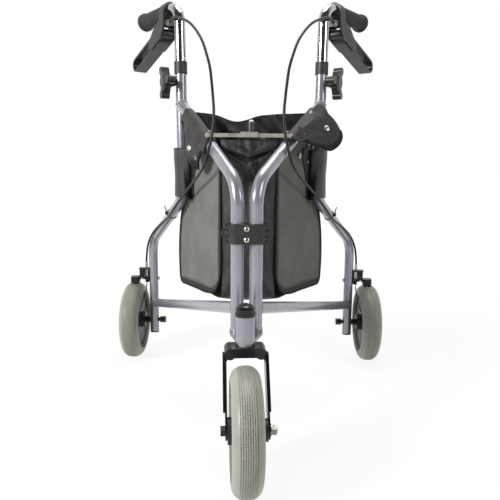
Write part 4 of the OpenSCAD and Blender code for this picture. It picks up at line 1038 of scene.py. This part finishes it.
# Free edge of each flap from front to back: reach behind the post, then how far it
# hangs down, or how far it stands out and up.
hang_reach = [
    (0.110, 0.008), (0.128, 0.018), (0.146, 0.046), (0.160, 0.064), (0.175, 0.069),
    (0.193, 0.062), (0.209, 0.050), (0.224, 0.030), (0.233, 0.012),
]
wing_reach = [
    (0.112, 0.042, 0.012), (0.126, 0.034, 0.004), (0.143, 0.024, -0.002), (0.165, 0.028, -0.020),
    (0.190, 0.036, -0.038), (0.212, 0.048, -0.055), (0.228, 0.058, -0.054), (0.236, 0.062, -0.044),
    (0.239, 0.058, -0.032),
]
# Creases over both flaps, along the rail and down from it, as for the shell.
hang_creases = [
    ((0.088, 0.080), (0.062, 0.128), 0.009), ((0.066, 0.078), (0.050, 0.118), 0.009),
    ((0.044, 0.080), (0.034, 0.116), 0.007), ((0.094, 0.098), (0.074, 0.134), 0.006),
]
wing_creases = [
    ((0.098, 0.070), (0.084, 0.118), 0.011), ((0.022, 0.086), (0.070, 0.122), 0.010),
    ((0.012, 0.076), (0.062, 0.084), 0.007),
]
inner_keys = [(-0.0130, -0.024), (-0.0130, -0.004)]
flap_w = 0.12
flap_len = 0.14


def hang_place(u, v):
    """A point of the right flap: u along the rail, v from inside over it and down."""
    t, deep = through(hang_reach, u)
    slack = 0.0130 + 0.003 * math.sin(math.pi * u)
    keys = inner_keys + [
        (-0.0085, 0.75 * slack), (0.0, slack), (0.0085, 0.75 * slack),
        (0.0134, -0.002), (0.0140, -0.5 * deep), (0.0125, -deep),
    ]
    out, drop = through(keys, v)
    free = max(0.0, v - 0.6)
    out += 0.022 * ripple(u * 5, v * 3, 6.6) * free
    out += 5 * free * pulled(flap_w * u, flap_len * v, hang_creases)
    return side_point(t, out, rail_z(t) + drop, -1)


def wing_place(u, v):
    """A point of the left flap: u along the rail, v from inside over it and out."""
    t, far, low = through(wing_reach, u)
    keys = inner_keys + [
        (-0.0085, 0.0105), (0.0, 0.0130),
        (0.3 * far + 0.006, 0.0105 + 0.1 * low), (0.6 * far + 0.003, 0.005 + 0.36 * low),
        (0.85 * far + 0.001, 0.003 + 0.7 * low), (far, low),
    ]
    out, drop = through(keys, v)
    bell = math.sin(math.pi * min(max((v - 0.3) / 0.7, 0.0), 1.0))
    lip = max(0.0, 1 - u / 0.3) ** 2
    folds = 1.6 * pulled(flap_w * u, flap_len * v, wing_creases)
    drop += bell * (0.004 * lip + 0.008 * ripple(u * 4, v * 3, 3.3) + folds)
    t -= 0.006 * lip * bell
    return side_point(t, out, rail_z(t) + drop)


right_flap, right_area = cloth("right_rail_flap", 50, 50, hang_place, 0.0014)
left_flap, left_area = cloth("left_rail_flap", 50, 50, wing_place, 0.0014)
for side, piece, area in (("left", left_flap, left_area), ("right", right_flap, right_area)):
    dress(piece, satin)
    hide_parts(side + "_bag_side")
    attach(piece, side + "_frame")

# Flap bindings: black tape folded over the free edge of each flap and sewn through,
# which keeps its curve.
left_trim = strand("left_flap_binding", [wing_place(u, 1) for u in shares], 0.0022)
right_trim = strand("right_flap_binding", [hang_place(u, 1) for u in shares], 0.0022)
for side, piece, flap, area in (
    ("left", left_trim, left_flap, left_area),
    ("right", right_trim, right_flap, right_area),
):
    dress(piece, binding_black)
    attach(piece, side + "_frame")


# Snaps and rivets: pressed metal caps, zinc plated and closed through the flaps, the
# tabs and the left panel.
def snap(name, place, along, side, size=0.0055):
    """A ringed cap of a radius at a place, facing along a direction."""
    bpy.ops.object.select_all(action="DESELECT")
    bpy.ops.mesh.primitive_cylinder_add(vertices=32, radius=size, depth=0.55 * size)
    cap = bpy.context.object
    cap.name = name
    pick(cap, lambda face: face.normal.z > 0.9)
    bpy.ops.mesh.inset(thickness=0.25 * size, depth=0.11 * size)
    bpy.ops.mesh.inset(thickness=0.15 * size, depth=-0.09 * size)
    bpy.ops.mesh.inset(thickness=0.18 * size, depth=0.05 * size)
    bpy.ops.object.mode_set(mode="OBJECT")
    facing = along.to_track_quat("Z", "Y").to_matrix().to_4x4()
    cap.data.transform(Matrix.Translation(place) @ facing)
    bpy.ops.object.shade_smooth_by_angle(angle=math.radians(35))
    dress(cap, zinc_plate)
    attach(cap, side + "_frame")


for side, place, marks in (
    ("left", wing_place, ((0.66, 0.76),)),
    ("right", hang_place, ((0.51, 0.86), (0.31, 0.91))),
):
    for i, (u, v) in enumerate(marks):
        here = place(u, v)
        across = place(u + 0.01, v) - here
        onward = place(u, v + 0.01) - here
        way = across.cross(onward).normalized()
        if way.y > 0:
            way = -way
        snap("%s_flap_snap_%d" % (side, i + 1), here + way * 0.0012, way, side)
for side, way in (("left", 1), ("right", -1)):
    outward = Vector((way * math.cos(splay), -math.sin(splay), 0.0))
    for i, v in enumerate((0.25, 0.75)):
        here = tab_place(0.3, v)
        here.x *= way
        snap("%s_tab_rivet_%d" % (side, i + 1), here + outward * 0.0014, outward, side, 0.0028)
outward = Vector((math.cos(splay), -math.sin(splay), 0.0))
snap("left_panel_snap", side_point(0.204, -0.0118, 0.506), outward, "left", 0.0060)
snap("left_loop_rivet", side_point(0.247, -0.0112, 0.529), outward, "left", 0.0034)

# Cable ties: moulded black nylon with a toothed strap, pulled tight round cable and
# leg. Each has its head and the tail that was left long.
tie_black, spot = finish("tie_black")
tooth = spot.waves("Z", 260.0)
close(spot, {
    "Base Color": tooth.rise(0.3, 0.7).mix(tone(24, 24, 24), tone(36, 36, 36)),
    "Roughness": 0.35 + tooth * 0.1,
    "Normal": tooth.relief(0.3, 0.0003),
})
tie_at = side_point(0.352, 0.0135, 0.3815)
bpy.ops.object.select_all(action="DESELECT")
bpy.ops.mesh.primitive_cube_add(
    size=1, location=tie_at, rotation=(0, 0, -splay), scale=(0.005, 0.0062, 0.0072),
)
left_tie = bpy.context.object
left_tie.name = "left_tie_head"
bpy.ops.object.transform_apply(location=True, rotation=True, scale=True)
bpy.ops.object.mode_set(mode="EDIT")
bpy.ops.mesh.select_all(action="SELECT")
bpy.ops.mesh.bevel(offset=0.0012, segments=3, affect="EDGES")
bpy.ops.object.mode_set(mode="OBJECT")
bpy.ops.object.shade_smooth_by_angle(angle=math.radians(35))
tail_steps = ((0.0, 0.0, 0.0), (0.0004, -0.0004, 0.006), (0.0016, -0.001, 0.012), (0.0036, -0.002, 0.017))
tail = [tie_at + Vector(step) for step in tail_steps]
left_tail = strand("left_tie_tail", tail, 0.0014, swell=lambda i: 1.0 - 0.12 * i)
for piece in (left_tie, left_tail):
    other = twin(piece, piece.name.replace("left", "right"))
    for side, part in (("left", piece), ("right", other)):
        dress(part, tie_black)
        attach(part, side + "_frame")

# Wire tails: the inner wires run on past their clamps in the brake arms, each in a
# black cover with a crimped cap, and hang beside the wheels.
tail = [
    (0.26455, 0.2925, 0.1870), (0.26550, 0.2840, 0.1730), (0.26750, 0.2690, 0.1590),
    (0.26870, 0.2520, 0.1470), (0.26920, 0.2350, 0.1380),
]
left_end = strand("left_wire_tail", tail, 0.0013, swell=lambda i: 1.0 if i < 4 else 1.2)
right_end = twin(left_end, "right_wire_tail")
for side, piece in (("left", left_end), ("right", right_end)):
    dress(piece, sheath_black)
    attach(piece, side + "_brake")
